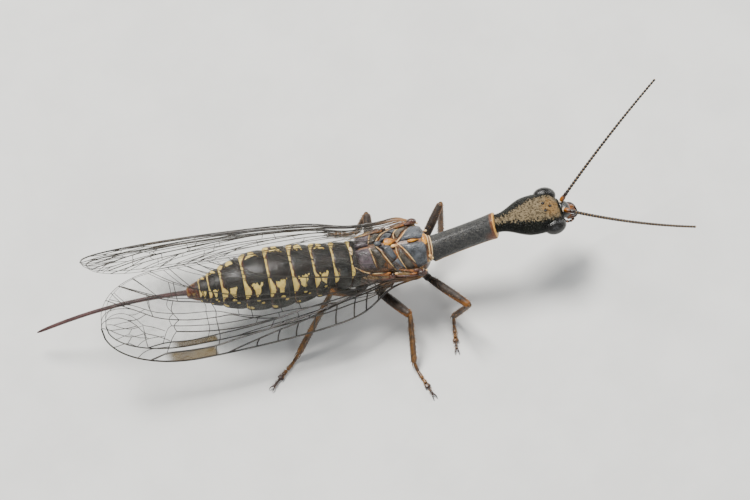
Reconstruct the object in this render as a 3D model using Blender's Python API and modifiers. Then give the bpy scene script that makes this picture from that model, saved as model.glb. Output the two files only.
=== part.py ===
"""A female snakefly at life size, standing with its wings folded like a roof.

Every size below is in millimetres. The insect looks along +X, its left side is +Y, and its
six soles lie at z = 0. The last step turns the millimetres into metres and puts the origin
on the floor under the middle of the whole insect.
"""
import math

import bmesh
import bpy
from mathutils import Matrix, Vector

# Clear the file
for old in list(bpy.data.objects):
    bpy.data.objects.remove(old, do_unlink=True)

# Driving sizes
MM = 0.001
GAP = 0.25                 # air between two parts that meet face to face
SIDES = 20                 # corners round a body section
THORAX_SQUARENESS = 2.3    # 2 is an ellipse, more is boxier, less is more like a diamond
ABDOMEN_SQUARENESS = 1.9

# Thorax: centre height, half sizes, and how far its sections lean back
THORAX_Z = 2.10
THORAX_LEAN = math.radians(22)
MESO_HALF_WIDTH = 0.90
MESO_HALF_HEIGHT = 0.93
META_HALF_WIDTH = 0.76
PROTHORAX_REAR = Vector((0.74, 0.0, 2.20))
PROTHORAX_FRONT = Vector((2.74, 0.16, 2.76))
PROTHORAX_RADIUS = 0.44

# Abdomen: where its nine rings end, and its fullest half width
ABDOMEN_Z = 2.02
ABDOMEN_START = -2.06
RING_ENDS = (-2.42, -2.98, -3.66, -4.44, -5.28, -6.12, -6.90, -7.52, -8.10)
ABDOMEN_HALF_WIDTH = 1.13
ABDOMEN_FULLEST = -5.2
ABDOMEN_FLATNESS = 0.86
OVIPOSITOR_TIP = Vector((-13.45, 0.0, 0.92))
OVIPOSITOR_SAG = 0.22
OVIPOSITOR_RADIUS = 0.26

# Head, in its own frame: forward from the neck, then turned and placed
NECK = Vector((2.98, 0.20, 2.84))
HEAD_PITCH = math.radians(9)
HEAD_YAW = math.radians(7.5)
HEAD_LENGTH = 2.32
HEAD_HALF_WIDTH = 0.69
EYE_PLACE = Vector((1.95, 0.66, 0.05))
EYE_RADII = Vector((0.37, 0.26, 0.34))
EYE_FLAT = 0.66
MOUTH_START = Vector((2.57, 0.0, -0.28))
MOUTH_END = Vector((3.08, 0.0, -0.60))
FEELER_BASE = Vector((2.31, 0.31, 0.29))
FEELER_LENGTH = 5.25
FEELER_RADIUS = 0.24
FEELER_BEADS = 17

# Wings: the front edge of the folded roof, its slope, and each wing's own outline
WING_HALF_THICKNESS = 0.20
VEIN_RISE = 0.08
ROOF_BULGE = 0.42
ROOF_SLOPE = math.radians(52)
RIDGE_HALF_GAP = 0.34      # from the ridge line to the middle of a rear edge
FORE_ROOT_X = 0.15
FORE_LENGTH = 11.4
FORE_CHORD = 3.90
HIND_ROOT_X = -1.45
HIND_LENGTH = 9.65
HIND_CHORD = 2.80

# Legs
LEG_RADIUS = 0.25
SOLE_HEIGHT = 0.19         # height of a foot's centre line over the floor
CLAW_LENGTH = 0.42

model = bpy.data.collections.new("snakefly")
cutters = bpy.data.collections.new("snakefly_cutters")
bpy.context.scene.collection.children.link(model)
bpy.context.scene.collection.children.link(cutters)


def make_material(name, colour, roughness, metallic=0.0, alpha=1.0):
    material = bpy.data.materials.new(name)
    material.use_nodes = True
    shader = material.node_tree.nodes["Principled BSDF"]
    shader.inputs["Base Color"].default_value = (*colour, 1.0)
    shader.inputs["Roughness"].default_value = roughness
    shader.inputs["Metallic"].default_value = metallic
    shader.inputs["Alpha"].default_value = alpha
    return material


HEAD_SHELL = make_material("head_shell", (0.060, 0.055, 0.042), 0.35)
EYE_SHELL = make_material("eye_shell", (0.018, 0.017, 0.020), 0.18)
MOUTH_SHELL = make_material("mouth_shell", (0.55, 0.20, 0.045), 0.35)
FEELER_SHELL = make_material("feeler_shell", (0.045, 0.032, 0.026), 0.50)
NECK_SHIELD = make_material("neck_shield", (0.055, 0.060, 0.062), 0.60)
BACK_SHIELD = make_material("back_shield", (0.110, 0.115, 0.125), 0.50)
BELLY_RINGS = make_material("belly_rings", (0.065, 0.045, 0.030), 0.40)
EGG_LAYER = make_material("egg_layer", (0.070, 0.035, 0.030), 0.45)
THIGH_SHELL = make_material("thigh_shell", (0.130, 0.065, 0.030), 0.40)
SHIN_SHELL = make_material("shin_shell", (0.360, 0.150, 0.035), 0.40)
FOOT_SHELL = make_material("foot_shell", (0.300, 0.120, 0.035), 0.45)
WING_FILM = make_material("wing_film", (0.420, 0.430, 0.380), 0.20, alpha=0.45)


def add_object(name, mesh, collection=model):
    made = bpy.data.objects.new(name, mesh)
    collection.objects.link(made)
    return made


def bmesh_object(name, shape, collection=cutters):
    bmesh.ops.recalc_face_normals(shape, faces=shape.faces)
    mesh = bpy.data.meshes.new(name)
    shape.to_mesh(mesh)
    shape.free()
    return add_object(name, mesh, collection)


def loft(name, rings):
    """A closed skin through rings of equal count, with a flat face over each end."""
    shape = bmesh.new()
    loops = [[shape.verts.new(point) for point in ring] for ring in rings]
    count = len(loops[0])
    for near, far in zip(loops, loops[1:]):
        for k in range(count):
            after = (k + 1) % count
            shape.faces.new((near[k], near[after], far[after], far[k]))
    shape.faces.new(loops[0])
    shape.faces.new(reversed(loops[-1]))
    return bmesh_object(name, shape)


def section(centre, half_width, half_height, lean=0.0, sides=SIDES, pinch=0.0,
            squareness=THORAX_SQUARENESS):
    """A rounded section across the body. A pinch draws in the side fold under the back plates."""
    ring = []
    for k in range(sides):
        angle = 2.0 * math.pi * k / sides
        across = math.copysign(abs(math.cos(angle)) ** (2.0 / squareness), math.cos(angle))
        rise = math.copysign(abs(math.sin(angle)) ** (2.0 / squareness), math.sin(angle))
        fold = 1.0 - pinch * math.exp(-((rise + 0.30) / 0.18) ** 2)
        up = rise * half_height
        ring.append(centre + Vector((up * math.sin(lean), across * half_width * fold,
                                     up * math.cos(lean))))
    return ring


def tube(name, points, radii, sides_step=2):
    """A tapered tube along points, made from a curve and turned into a mesh with welded caps."""
    curve = bpy.data.curves.new(name, "CURVE")
    curve.dimensions = "3D"
    curve.bevel_depth = 1.0
    curve.bevel_resolution = sides_step
    curve.use_fill_caps = True
    spline = curve.splines.new("POLY")
    spline.points.add(len(points) - 1)
    for slot, point, radius in zip(spline.points, points, radii):
        slot.co = (*point, 1.0)
        slot.radius = radius
    wire = add_object(name + "_curve", curve, cutters)
    bpy.context.view_layer.update()
    mesh = bpy.data.meshes.new_from_object(wire.evaluated_get(bpy.context.evaluated_depsgraph_get()))
    bpy.data.objects.remove(wire, do_unlink=True)
    shape = bmesh.new()
    shape.from_mesh(mesh)
    bmesh.ops.remove_doubles(shape, verts=shape.verts, dist=1e-4)
    return bmesh_object(name, shape)


def ellipsoid(name, centre, radii, turn=None, segments=16, rings=10):
    shape = bmesh.new()
    bmesh.ops.create_uvsphere(shape, u_segments=segments, v_segments=rings, radius=1.0)
    matrix = Matrix.Translation(centre) @ (turn or Matrix.Identity(4)) @ Matrix.Diagonal((*radii, 1.0))
    bmesh.ops.transform(shape, matrix=matrix, verts=shape.verts)
    return bmesh_object(name, shape)


def box(name, low, high):
    shape = bmesh.new()
    bmesh.ops.create_cube(shape, size=1.0)
    size = Vector(high) - Vector(low)
    middle = (Vector(high) + Vector(low)) / 2.0
    bmesh.ops.transform(shape, matrix=Matrix.Translation(middle) @ Matrix.Diagonal((*size, 1.0)),
                        verts=shape.verts)
    return bmesh_object(name, shape)


def apply_modifiers(piece):
    bpy.context.view_layer.update()
    mesh = bpy.data.meshes.new_from_object(
        piece.evaluated_get(bpy.context.evaluated_depsgraph_get()))
    piece.modifiers.clear()
    piece.data = mesh


def keep_largest(piece):
    """Keep the closed surface with the most volume and drop any other."""
    shape = bmesh.new()
    shape.from_mesh(piece.data)
    bmesh.ops.remove_doubles(shape, verts=shape.verts, dist=1e-5)
    unseen = set(shape.verts)
    shells = []
    while unseen:
        shell = {unseen.pop()}
        edge_of_shell = list(shell)
        while edge_of_shell:
            vertex = edge_of_shell.pop()
            for edge in vertex.link_edges:
                other = edge.other_vert(vertex)
                if other in unseen:
                    unseen.remove(other)
                    shell.add(other)
                    edge_of_shell.append(other)
        shells.append(shell)

    def reach(shell):
        spans = [max(v.co[a] for v in shell) - min(v.co[a] for v in shell) for a in range(3)]
        return spans[0] * spans[1] * spans[2]

    largest = max(shells, key=reach)
    bmesh.ops.delete(shape, geom=[v for v in shape.verts if v not in largest], context="VERTS")
    shape.to_mesh(piece.data)
    shape.free()


def combine(body, operation, others):
    """Boolean of the body with a collection of closed meshes, applied, and the others removed."""
    group = bpy.data.collections.new(body.name + "_others")
    bpy.context.scene.collection.children.link(group)
    for other in others:
        group.objects.link(other)
        cutters.objects.unlink(other)
    modifier = body.modifiers.new("combine", "BOOLEAN")
    modifier.operation = operation
    modifier.operand_type = "COLLECTION"
    modifier.collection = group
    modifier.solver = "EXACT"
    apply_modifiers(body)
    for other in others:
        bpy.data.objects.remove(other, do_unlink=True)
    bpy.data.collections.remove(group)
    keep_largest(body)


def smooth_cage(piece, levels=1):
    modifier = piece.modifiers.new("rounding", "SUBSURF")
    modifier.levels = levels
    modifier.render_levels = levels
    apply_modifiers(piece)


def finish(piece, name, material, crease=35.0):
    """Name the piece as a node of the model, with its material and its smooth shading."""
    cutters.objects.unlink(piece)
    model.objects.link(piece)
    piece.name = name
    piece.data.name = name
    piece.data.materials.clear()
    piece.data.materials.append(material)
    piece.data.shade_smooth()
    piece.data.set_sharp_from_angle(angle=math.radians(crease))
    return piece


def between(start, end, part):
    return start + (end - start) * part


def ramp(value, low, high):
    """0 below low, 1 above high, and a smooth step between."""
    part = min(max((value - low) / (high - low), 0.0), 1.0)
    return part * part * (3.0 - 2.0 * part)


# Thorax
def thorax_section(x, z, half_width, half_height, lean_share=1.0):
    return section(Vector((x, 0.0, z)), half_width, half_height, THORAX_LEAN * lean_share)


def make_prothorax():
    """The long neck shield: a tube that flares a little at both rims."""
    axis = PROTHORAX_FRONT - PROTHORAX_REAR
    shares = (0.0, 0.05, 0.12, 0.50, 0.88, 0.95, 1.0)
    swell = (0.92, 1.03, 0.97, 0.96, 1.00, 1.06, 1.00)
    points = [PROTHORAX_REAR + axis * share for share in shares]
    shield = tube("prothorax", points, [PROTHORAX_RADIUS * part for part in swell], 3)
    finish(shield, "prothorax", NECK_SHIELD)


def make_mesothorax():
    rings = [
        thorax_section(0.46, 2.14, 0.42, 0.44, -0.7),
        thorax_section(0.30, 2.18, 0.64, 0.60, 0.2),
        thorax_section(0.06, 2.16, 0.84, 0.80, 0.8),
        thorax_section(-0.22, THORAX_Z, MESO_HALF_WIDTH, MESO_HALF_HEIGHT),
        thorax_section(-0.62, THORAX_Z, MESO_HALF_WIDTH * 0.97, MESO_HALF_HEIGHT),
        thorax_section(-0.92, THORAX_Z, MESO_HALF_WIDTH * 0.88, MESO_HALF_HEIGHT * 0.96),
        thorax_section(-1.04, THORAX_Z, MESO_HALF_WIDTH * 0.80, MESO_HALF_HEIGHT * 0.90),
    ]
    body = loft("mesothorax", rings)
    lobes = [ellipsoid("lobe", Vector((-0.05, side * 0.36, 2.72)), (0.52, 0.40, 0.34)) for side in (1, -1)]
    shield = ellipsoid("scutellum", Vector((-0.52, 0.0, 2.90)), (0.24, 0.20, 0.16))
    combine(body, "UNION", lobes + [shield])
    finish(body, "mesothorax", BACK_SHIELD)


def make_metathorax():
    start = -1.04 - GAP
    rings = [
        thorax_section(start, THORAX_Z, META_HALF_WIDTH * 0.94, MESO_HALF_HEIGHT * 0.90),
        thorax_section(start - 0.12, THORAX_Z, META_HALF_WIDTH, MESO_HALF_HEIGHT * 0.96),
        thorax_section(start - 0.36, THORAX_Z, META_HALF_WIDTH, MESO_HALF_HEIGHT * 0.93),
        thorax_section(ABDOMEN_START + GAP, ABDOMEN_Z, META_HALF_WIDTH * 0.86,
                       MESO_HALF_HEIGHT * 0.80),
    ]
    finish(loft("metathorax", rings), "metathorax", BACK_SHIELD)


# Abdomen
def abdomen_half_width(x):
    """Narrow at the waist, fullest behind the middle, drawn in to the tip."""
    if x > ABDOMEN_FULLEST:
        share = (ABDOMEN_START - x) / (ABDOMEN_START - ABDOMEN_FULLEST)
        return ABDOMEN_HALF_WIDTH * (0.56 + 0.44 * math.sin(share * math.pi / 2.0) ** 1.2)
    share = (x - ABDOMEN_FULLEST) / (RING_ENDS[-1] - ABDOMEN_FULLEST)
    return ABDOMEN_HALF_WIDTH * (1.0 - 0.74 * share ** 2.2)


def abdomen_rings(first, last):
    """Sections of the rings first to last: each plate is proud of the fold behind it."""
    starts = (ABDOMEN_START,) + RING_ENDS[:-1]
    rings = []
    for index in range(first, last + 1):
        front, rear = starts[index], RING_ENDS[index]
        if index == first and index > 0:
            front -= GAP / 2.0
        if index == last and index < len(RING_ENDS) - 1:
            rear += GAP / 2.0
        for share, swell in ((0.0, 0.93), (0.16, 1.0), (0.84, 1.02), (1.0, 0.94)):
            x = front + (rear - front) * share * (0.97 if index < last else 1.0)
            width = abdomen_half_width(x) * swell
            lean = THORAX_LEAN * max(0.0, 1.0 - (ABDOMEN_START - x) / 1.1)
            rings.append(section(Vector((x, 0.0, ABDOMEN_Z)), width, width * ABDOMEN_FLATNESS, lean,
                                 pinch=0.07, squareness=ABDOMEN_SQUARENESS))
    return rings


def make_abdomen():
    for name, first, last in (("abdomen_front", 0, 2), ("abdomen_middle", 3, 5), ("abdomen_rear", 6, 8)):
        finish(loft(name, abdomen_rings(first, last)), name, BELLY_RINGS)


def make_ovipositor():
    root = Vector((RING_ENDS[-1] - GAP, 0.0, ABDOMEN_Z))
    points, radii = [], []
    for k in range(11):
        share = k / 10.0
        sag = OVIPOSITOR_SAG * 4.0 * share * (1.0 - share)
        points.append(between(root, OVIPOSITOR_TIP, share) + Vector((0.0, 0.0, sag)))
        radii.append(OVIPOSITOR_RADIUS * (1.0 - 0.55 * ramp(share, 0.55, 1.0)))
    finish(tube("ovipositor", points, radii), "ovipositor", EGG_LAYER)


# Head
HEAD_TURN = Matrix.Rotation(HEAD_YAW, 4, "Z") @ Matrix.Rotation(HEAD_PITCH, 4, "Y")
HEAD_PLACE = Matrix.Translation(NECK) @ HEAD_TURN


def head_half_width(share):
    """Half width of the head at a share of its length: a flask that opens from the neck."""
    opening = ramp(share, -0.02, 0.52)
    closing = ramp(share, 0.80, 1.06)
    return 0.27 + (HEAD_HALF_WIDTH - 0.27) * opening - 0.30 * closing


def make_head():
    rings = []
    for share in (0.0, 0.10, 0.22, 0.36, 0.50, 0.64, 0.78, 0.90, 1.0):
        width = head_half_width(share)
        height = 0.24 + 0.25 * ramp(share, 0.05, 0.65) - 0.13 * ramp(share, 0.82, 1.0)
        droop = 0.09 * ramp(share, 0.75, 1.0)
        rings.append(section(Vector((share * HEAD_LENGTH, 0.0, -droop)), width, height, 0.0, 12))
    head = loft("head", rings)
    smooth_cage(head)
    low = EYE_PLACE - Vector((EYE_RADII.x + GAP, 0.0, EYE_RADII.z + GAP))
    high = EYE_PLACE + Vector((EYE_RADII.x + GAP, 1.0, EYE_RADII.z + GAP))
    slots = [box("eye_slot_left", (low.x, EYE_FLAT - GAP, low.z), high),
             box("eye_slot_right", (low.x, -high.y, low.z), (high.x, GAP - EYE_FLAT, high.z))]
    combine(head, "DIFFERENCE", slots)
    head.data.transform(HEAD_PLACE)
    finish(head, "head", HEAD_SHELL)


def make_eyes():
    for name, side in (("eye_left", 1), ("eye_right", -1)):
        centre = Vector((EYE_PLACE.x, side * EYE_PLACE.y, EYE_PLACE.z))
        eye = ellipsoid(name, centre, EYE_RADII, segments=20, rings=12)
        inner = sorted((side * EYE_FLAT, -side * 1.0))
        combine(eye, "DIFFERENCE", [box("inner_half", (1.0, inner[0], -1.0), (3.0, inner[1], 1.0))])
        eye.data.transform(HEAD_PLACE)
        finish(eye, name, EYE_SHELL)


def make_mouthparts():
    """Upper lip, two jaws that close in front, and the two pairs of palps, fused at the root."""
    lip_rings = []
    profile = ((0.0, 0.28, 0.18), (0.4, 0.29, 0.20), (0.8, 0.24, 0.18), (1.0, 0.16, 0.12))
    for share, width, height in profile:
        lip_rings.append(section(between(MOUTH_START, MOUTH_END, share), width, height, 0.0, 12))
    mouth = loft("mouthparts", lip_rings)
    extras = []
    for side in (1, -1):
        jaw = [Vector((0.06, side * 0.18, -0.10)), Vector((0.36, side * 0.26, -0.26)),
               Vector((0.58, side * 0.20, -0.38)), Vector((0.70, side * 0.06, -0.44))]
        extras.append(tube("jaw", [MOUTH_START + point for point in jaw], (0.15, 0.16, 0.13, 0.07)))
        palp = [Vector((0.10, side * 0.20, -0.16)), Vector((0.24, side * 0.38, -0.40)),
                Vector((0.46, side * 0.44, -0.58)), Vector((0.72, side * 0.38, -0.66))]
        extras.append(tube("palp", [MOUTH_START + point for point in palp], (0.15, 0.15, 0.14, 0.09)))
    combine(mouth, "UNION", extras)
    mouth.data.transform(HEAD_PLACE)
    finish(mouth, "mouthparts", MOUTH_SHELL)


def make_feelers():
    """Each feeler leaves its socket, then runs out in a long shallow curve of beads."""
    aims = {"antenna_left": (1, Vector((0.700, 0.480, 0.530)), Vector((-0.04, 0.02, 0.08))),
            "antenna_right": (-1, Vector((0.790, -0.450, 0.415)), Vector((0.0, -0.10, -0.05)))}
    for name, (side, aim, bend) in aims.items():
        root = HEAD_PLACE @ Vector((FEELER_BASE.x + GAP, side * FEELER_BASE.y, FEELER_BASE.z))
        aim.normalize()
        points, radii = [], []
        steps = 2 * FEELER_BEADS + 4
        for k in range(steps + 1):
            share = k / steps
            points.append(root + aim * FEELER_LENGTH * share + bend * 4.0 * share * (1.0 - share))
            bead = 1.0 + (0.09 if k % 2 else -0.09)
            radii.append(FEELER_RADIUS * bead * (1.0 - 0.45 * ramp(share, 0.5, 1.0)))
        radii[1] = radii[2] = FEELER_RADIUS * 1.05
        finish(tube(name, points, radii), name, FEELER_SHELL)


# Legs: the root on the body, the hip, the knee, the ankle, and the end of the foot
LEGS = {
    "front_right": ((0.98, -0.42, 1.55), (0.46, -0.68, 1.14), (1.49, -2.28, 1.90),
                    (1.02, -1.86, 0.42), (0.90, -3.05, 0.0)),
    "middle_right": ((-0.98, -0.44, 0.88), (-1.42, -0.64, 0.62), (-0.56, -2.01, 1.34),
                     (-0.68, -3.36, 0.40), (-0.24, -4.60, 0.0)),
    "hind_right": ((-1.98, -0.42, 0.90), (-2.44, -0.62, 0.68), (-3.60, -1.20, 1.24),
                   (-4.58, -2.24, 0.40), (-5.66, -3.24, 0.0)),
    "front_left": ((0.98, 0.42, 1.55), (0.48, 0.68, 1.14), (1.26, 1.74, 1.94),
                   (1.20, 1.38, 0.42), (2.06, 1.08, 0.0)),
    "middle_left": ((-0.98, 0.44, 0.88), (-1.42, 0.64, 0.62), (-1.30, 2.21, 1.15),
                    (-1.70, 1.98, 0.42), (-2.70, 2.20, 0.0)),
    "hind_left": ((-1.98, 0.42, 0.90), (-2.44, 0.62, 0.68), (-3.60, 1.20, 1.24),
                  (-4.85, 1.55, 0.40), (-6.00, 1.80, 0.0)),
}


def bisector(before, joint, after):
    """Unit normal of the plane that halves a bend, pointing on along the leg."""
    return ((joint - before).normalized() + (after - joint).normalized()).normalized()


def cut_off(piece, point, normal):
    """Cut away all that lies past a plane, and close the cut with a flat face."""
    shape = bmesh.new()
    shape.from_mesh(piece.data)
    geometry = list(shape.verts) + list(shape.edges) + list(shape.faces)
    bmesh.ops.bisect_plane(shape, geom=geometry, plane_co=point, plane_no=normal, clear_outer=True)
    rim = [edge for edge in shape.edges if edge.is_boundary]
    bmesh.ops.holes_fill(shape, edges=rim, sides=0)
    bmesh.ops.recalc_face_normals(shape, faces=shape.faces)
    shape.to_mesh(piece.data)
    shape.free()


def make_thigh(name, root, hip, knee, ankle):
    """Hip joint, its knob and thigh as one piece, cut at the knee along the plane that halves the bend."""
    way = (knee - hip).normalized()
    end = knee + way * 0.12
    stops = ((0.0, 0.90), (0.10, 0.98), (0.28, 1.04), (0.55, 1.08), (0.80, 1.02), (0.94, 0.98), (1.0, 0.78))
    points = [between(hip, end, share) for share, part in stops]
    thigh = tube("thigh_" + name, points, [LEG_RADIUS * part for share, part in stops])
    stops = ((0.0, 1.00), (0.45, 1.08), (0.85, 1.02), (1.0, 0.80))
    points = [between(root, hip, share) for share, part in stops]
    coxa = tube("coxa", points, [LEG_RADIUS * part for share, part in stops])
    knob = ellipsoid("knob", hip, Vector((1.0, 1.0, 1.0)) * LEG_RADIUS * 1.04, segments=12, rings=8)
    combine(thigh, "UNION", [coxa, knob])
    normal = bisector(hip, knee, ankle)
    cut_off(thigh, knee - normal * GAP / 2.0, normal)
    finish(thigh, "thigh_" + name, THIGH_SHELL)


def make_shin(name, hip, knee, ankle, heel):
    way = (ankle - knee).normalized()
    start, end = knee - way * 0.10, ankle + way * 0.08
    shares = ((0.0, 0.80), (0.08, 0.98), (0.5, 0.96), (0.85, 1.0), (1.0, 0.96))
    points = [between(start, end, share) for share, part in shares]
    shin = tube("shin_" + name, points, [LEG_RADIUS * part for share, part in shares])
    upper, lower = bisector(hip, knee, ankle), bisector(knee, ankle, heel)
    cut_off(shin, knee + upper * GAP / 2.0, -upper)
    cut_off(shin, ankle - lower * GAP / 2.0, lower)
    finish(shin, "shin_" + name, SHIN_SHELL)


def heel_of(ankle, toe):
    """Where the foot first lies flat, a little out from under the ankle."""
    way = Vector((toe.x - ankle.x, toe.y - ankle.y, 0.0)).normalized()
    return Vector((ankle.x, ankle.y, SOLE_HEIGHT)) + way * 0.34


def make_foot(name, knee, ankle, toe):
    """Five joints in a row, the third the broadest, with two claws, cut flat on the floor."""
    toe = Vector((toe.x, toe.y, SOLE_HEIGHT))
    heel = heel_of(ankle, toe)
    rise = (heel - ankle).normalized()
    stops = ((0.0, 0.96), (0.18, 1.04), (0.26, 0.92), (0.36, 1.10), (0.52, 1.14), (0.60, 0.92),
             (0.86, 0.98), (1.0, 0.90))
    points = [ankle - rise * 0.10, between(ankle, heel, 0.5)]
    radii = [LEG_RADIUS * 0.92, LEG_RADIUS * 0.94]
    for share, part in stops:
        points.append(between(heel, toe, share))
        radii.append(LEG_RADIUS * part)
    foot = tube("foot_" + name, points, radii)
    way = (toe - heel).normalized()
    across = Vector((-way.y, way.x, 0.0))
    claws = []
    for side in (1, -1):
        root = toe - way * 0.12 + across * side * 0.08
        middle = toe + way * CLAW_LENGTH * 0.5 + across * side * 0.17
        tip = toe + way * CLAW_LENGTH + across * side * 0.12 - Vector((0.0, 0.0, 0.08))
        claws.append(tube("claw", [root, middle, tip], (0.14, 0.11, 0.05)))
    combine(foot, "UNION", claws)
    upper = bisector(knee, ankle, heel)
    cut_off(foot, ankle + upper * GAP / 2.0, -upper)
    low = (min(ankle.x, toe.x) - 1.0, min(ankle.y, toe.y) - 1.0, -1.0)
    high = (max(ankle.x, toe.x) + 1.0, max(ankle.y, toe.y) + 1.0, 0.0)
    combine(foot, "DIFFERENCE", [box("floor", low, high)])
    finish(foot, "foot_" + name, FOOT_SHELL)


def make_legs():
    for name, places in LEGS.items():
        root, hip, knee, ankle, toe = (Vector(place) for place in places)
        make_thigh(name, root, hip, knee, ankle)
        make_shin(name, hip, knee, ankle, heel_of(ankle, toe))
        make_foot(name, knee, ankle, toe)


# Wings
def roof_frame(x):
    """Front edge, chord direction and outward normal of the folded roof, left side, at x."""
    back = max(FORE_ROOT_X - x, 0.0)
    edge = Vector((x, 1.36 + 1.06 * (1.0 - math.exp(-back / 2.9)), 1.55 + 0.55 * math.exp(-back)))
    chord = Vector((0.0, -math.cos(ROOF_SLOPE), math.sin(ROOF_SLOPE)))
    outward = Vector((0.0, math.sin(ROOF_SLOPE), math.cos(ROOF_SLOPE)))
    return edge, chord, outward


def tip_share(share, start):
    """How far an outline has turned in towards the wing tip, 0 before start and 1 at the tip."""
    along = max(share - start, 0.0) / (1.0 - start)
    return 1.0 - math.sqrt(max(1.0 - along * along, 0.0))


def wing_point(wing, share, part):
    """A point of a left wing's middle surface: share runs root to tip, part front edge to rear."""
    x = wing["root_x"] - wing["length"] * share
    edge, chord, outward = roof_frame(x)
    spread = math.sin(min(share / 0.45, 1.0) * math.pi / 2.0)
    lift = wing["lift"](FORE_ROOT_X - x)
    to_ridge = (edge.y + outward.y * lift - RIDGE_HALF_GAP) / math.cos(ROOF_SLOPE)
    front = wing["inset"] + wing["apex"] * tip_share(share, 0.70)
    full = wing["root_chord"] + (wing["chord"] - wing["root_chord"]) * spread ** wing["fill"]
    full = min(full, to_ridge - wing["inset"])
    rear = wing["inset"] + full - (full - wing["apex"] - 0.25) * tip_share(share, 0.72)
    rear = max(rear, front + 0.25)
    away = front + (rear - front) * part
    arch = ROOF_BULGE * math.sin(math.pi * min(away / wing["roof"], 1.0))
    return edge + chord * away + outward * (lift + arch)


FORE = {"root_x": FORE_ROOT_X - 0.12, "length": FORE_LENGTH, "chord": FORE_CHORD,
        "root_chord": 0.70, "fill": 1.5, "inset": 0.0, "apex": 1.90, "roof": 3.8,
        "lift": lambda back: 0.10 + 0.335 * ramp(back, 0.0, 1.7)}
HIND = {"root_x": HIND_ROOT_X, "length": HIND_LENGTH, "chord": HIND_CHORD,
        "root_chord": 0.60, "fill": 1.1, "inset": 0.38, "apex": 1.70, "roof": 3.8,
        "lift": lambda back: -0.36}

# Main veins as (part of the chord at the root, at mid length, at the tip, share where it begins)
FORE_VEINS = ((0.20, 0.13, 0.14, 0.0), (0.42, 0.26, 0.30, 0.0), (0.60, 0.42, 0.46, 0.24),
              (0.74, 0.58, 0.62, 0.10), (0.87, 0.77, 0.80, 0.02))
HIND_VEINS = ((0.20, 0.14, 0.16, 0.0), (0.44, 0.34, 0.36, 0.0), (0.66, 0.56, 0.58, 0.10),
              (0.85, 0.78, 0.80, 0.04))
STIGMA = (0.66, 0.80)      # the dark cell near the front edge, as shares of the wing's length


def vein_part(vein, share):
    root, middle, tip, begins = vein
    if share < 0.5:
        return between(root, middle, ramp(share, 0.0, 0.5))
    return between(middle, tip, ramp(share, 0.5, 1.0))


def wing_grid(wing, veins, stations):
    """Rows of (point, half thickness): three rows a vein, its crest higher than the film."""
    grid = []
    for share in stations:
        parts = [(0.0, VEIN_RISE)]
        for vein in veins:
            centre = vein_part(vein, share)
            crest = VEIN_RISE * ramp(share, vein[3], vein[3] + 0.06) if vein[3] > 0.0 else VEIN_RISE
            parts += [(centre - 0.035, 0.0), (centre, crest), (centre + 0.035, 0.0)]
        parts.append((1.0, 0.0))
        thin = 1.0 - 0.45 * ramp(share, 0.93, 1.0)
        row = []
        for part, rise in parts:
            stigma = 0.8 * VEIN_RISE if part < veins[0][1] and STIGMA[0] < share < STIGMA[1] else 0.0
            half = (WING_HALF_THICKNESS + max(rise, stigma)) * thin
            row.append((part, half))
        grid.append((share, thin, row))
    return grid


def make_wing(name, wing, veins, side):
    """A thin closed plate, split into triangles alike on both faces."""
    stations = [0.0, 0.03, 0.07, 0.12, 0.18, 0.25, 0.33, 0.41, 0.49, 0.57, 0.65, 0.67, 0.73,
                0.79, 0.81, 0.86, 0.90, 0.94, 0.97, 0.992]
    shape = bmesh.new()
    upper, lower = [], []
    for share, thin, row in wing_grid(wing, veins, stations):
        over, under = [], []
        for part, half in row:
            middle = wing_point(wing, share, part)
            step = 0.01
            along = (wing_point(wing, min(share + step, 1.0), part)
                     - wing_point(wing, max(share - step, 0.0), part))
            across = wing_point(wing, share, part + step) - wing_point(wing, share, part - step)
            normal = across.cross(along).normalized()
            if normal.dot(roof_frame(middle.x)[2]) < 0.0:
                normal.negate()
            for verts, offset in ((over, half), (under, -WING_HALF_THICKNESS * thin)):
                place = middle + normal * offset
                verts.append(shape.verts.new((place.x, side * place.y, place.z)))
        upper.append(over)
        lower.append(under)
    rows, columns = len(upper), len(upper[0])
    for i in range(rows - 1):
        for j in range(columns - 1):
            for face in (upper, lower):
                shape.faces.new((face[i][j], face[i + 1][j], face[i + 1][j + 1]))
                shape.faces.new((face[i][j], face[i + 1][j + 1], face[i][j + 1]))
    border = [(i, 0) for i in range(rows)] + [(rows - 1, j) for j in range(1, columns)]
    border += [(i, columns - 1) for i in range(rows - 2, -1, -1)]
    border += [(0, j) for j in range(columns - 2, 0, -1)]
    for (i, j), (p, q) in zip(border, border[1:] + border[:1]):
        shape.faces.new((upper[i][j], upper[p][q], lower[p][q]))
        shape.faces.new((upper[i][j], lower[p][q], lower[i][j]))
    finish(bmesh_object(name, shape), name, WING_FILM, 20.0)


def make_wings():
    for label, side in (("left", 1), ("right", -1)):
        make_wing("forewing_" + label, FORE, FORE_VEINS, side)
        make_wing("hindwing_" + label, HIND, HIND_VEINS, side)


def settle():
    """Millimetres to metres, with the origin on the floor under the middle of the whole."""
    pieces = list(model.objects)
    corners = [vertex.co for piece in pieces for vertex in piece.data.vertices]
    middle_x = (min(c.x for c in corners) + max(c.x for c in corners)) / 2.0
    middle_y = (min(c.y for c in corners) + max(c.y for c in corners)) / 2.0
    move = Matrix.Scale(MM, 4) @ Matrix.Translation((-middle_x, -middle_y, 0.0))
    for piece in pieces:
        piece.data.transform(move)
        piece.data.update()
    print("moved by", round(-middle_x, 4), round(-middle_y, 4), "mm before scaling")
    for piece in pieces:
        piece.data.calc_loop_triangles()
    print("triangles", sum(len(piece.data.loop_triangles) for piece in pieces), "in", len(pieces), "nodes")


make_prothorax()
make_mesothorax()
make_metathorax()
make_abdomen()
make_ovipositor()
make_head()
make_eyes()
make_mouthparts()
make_feelers()
make_legs()
make_wings()
settle()
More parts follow.
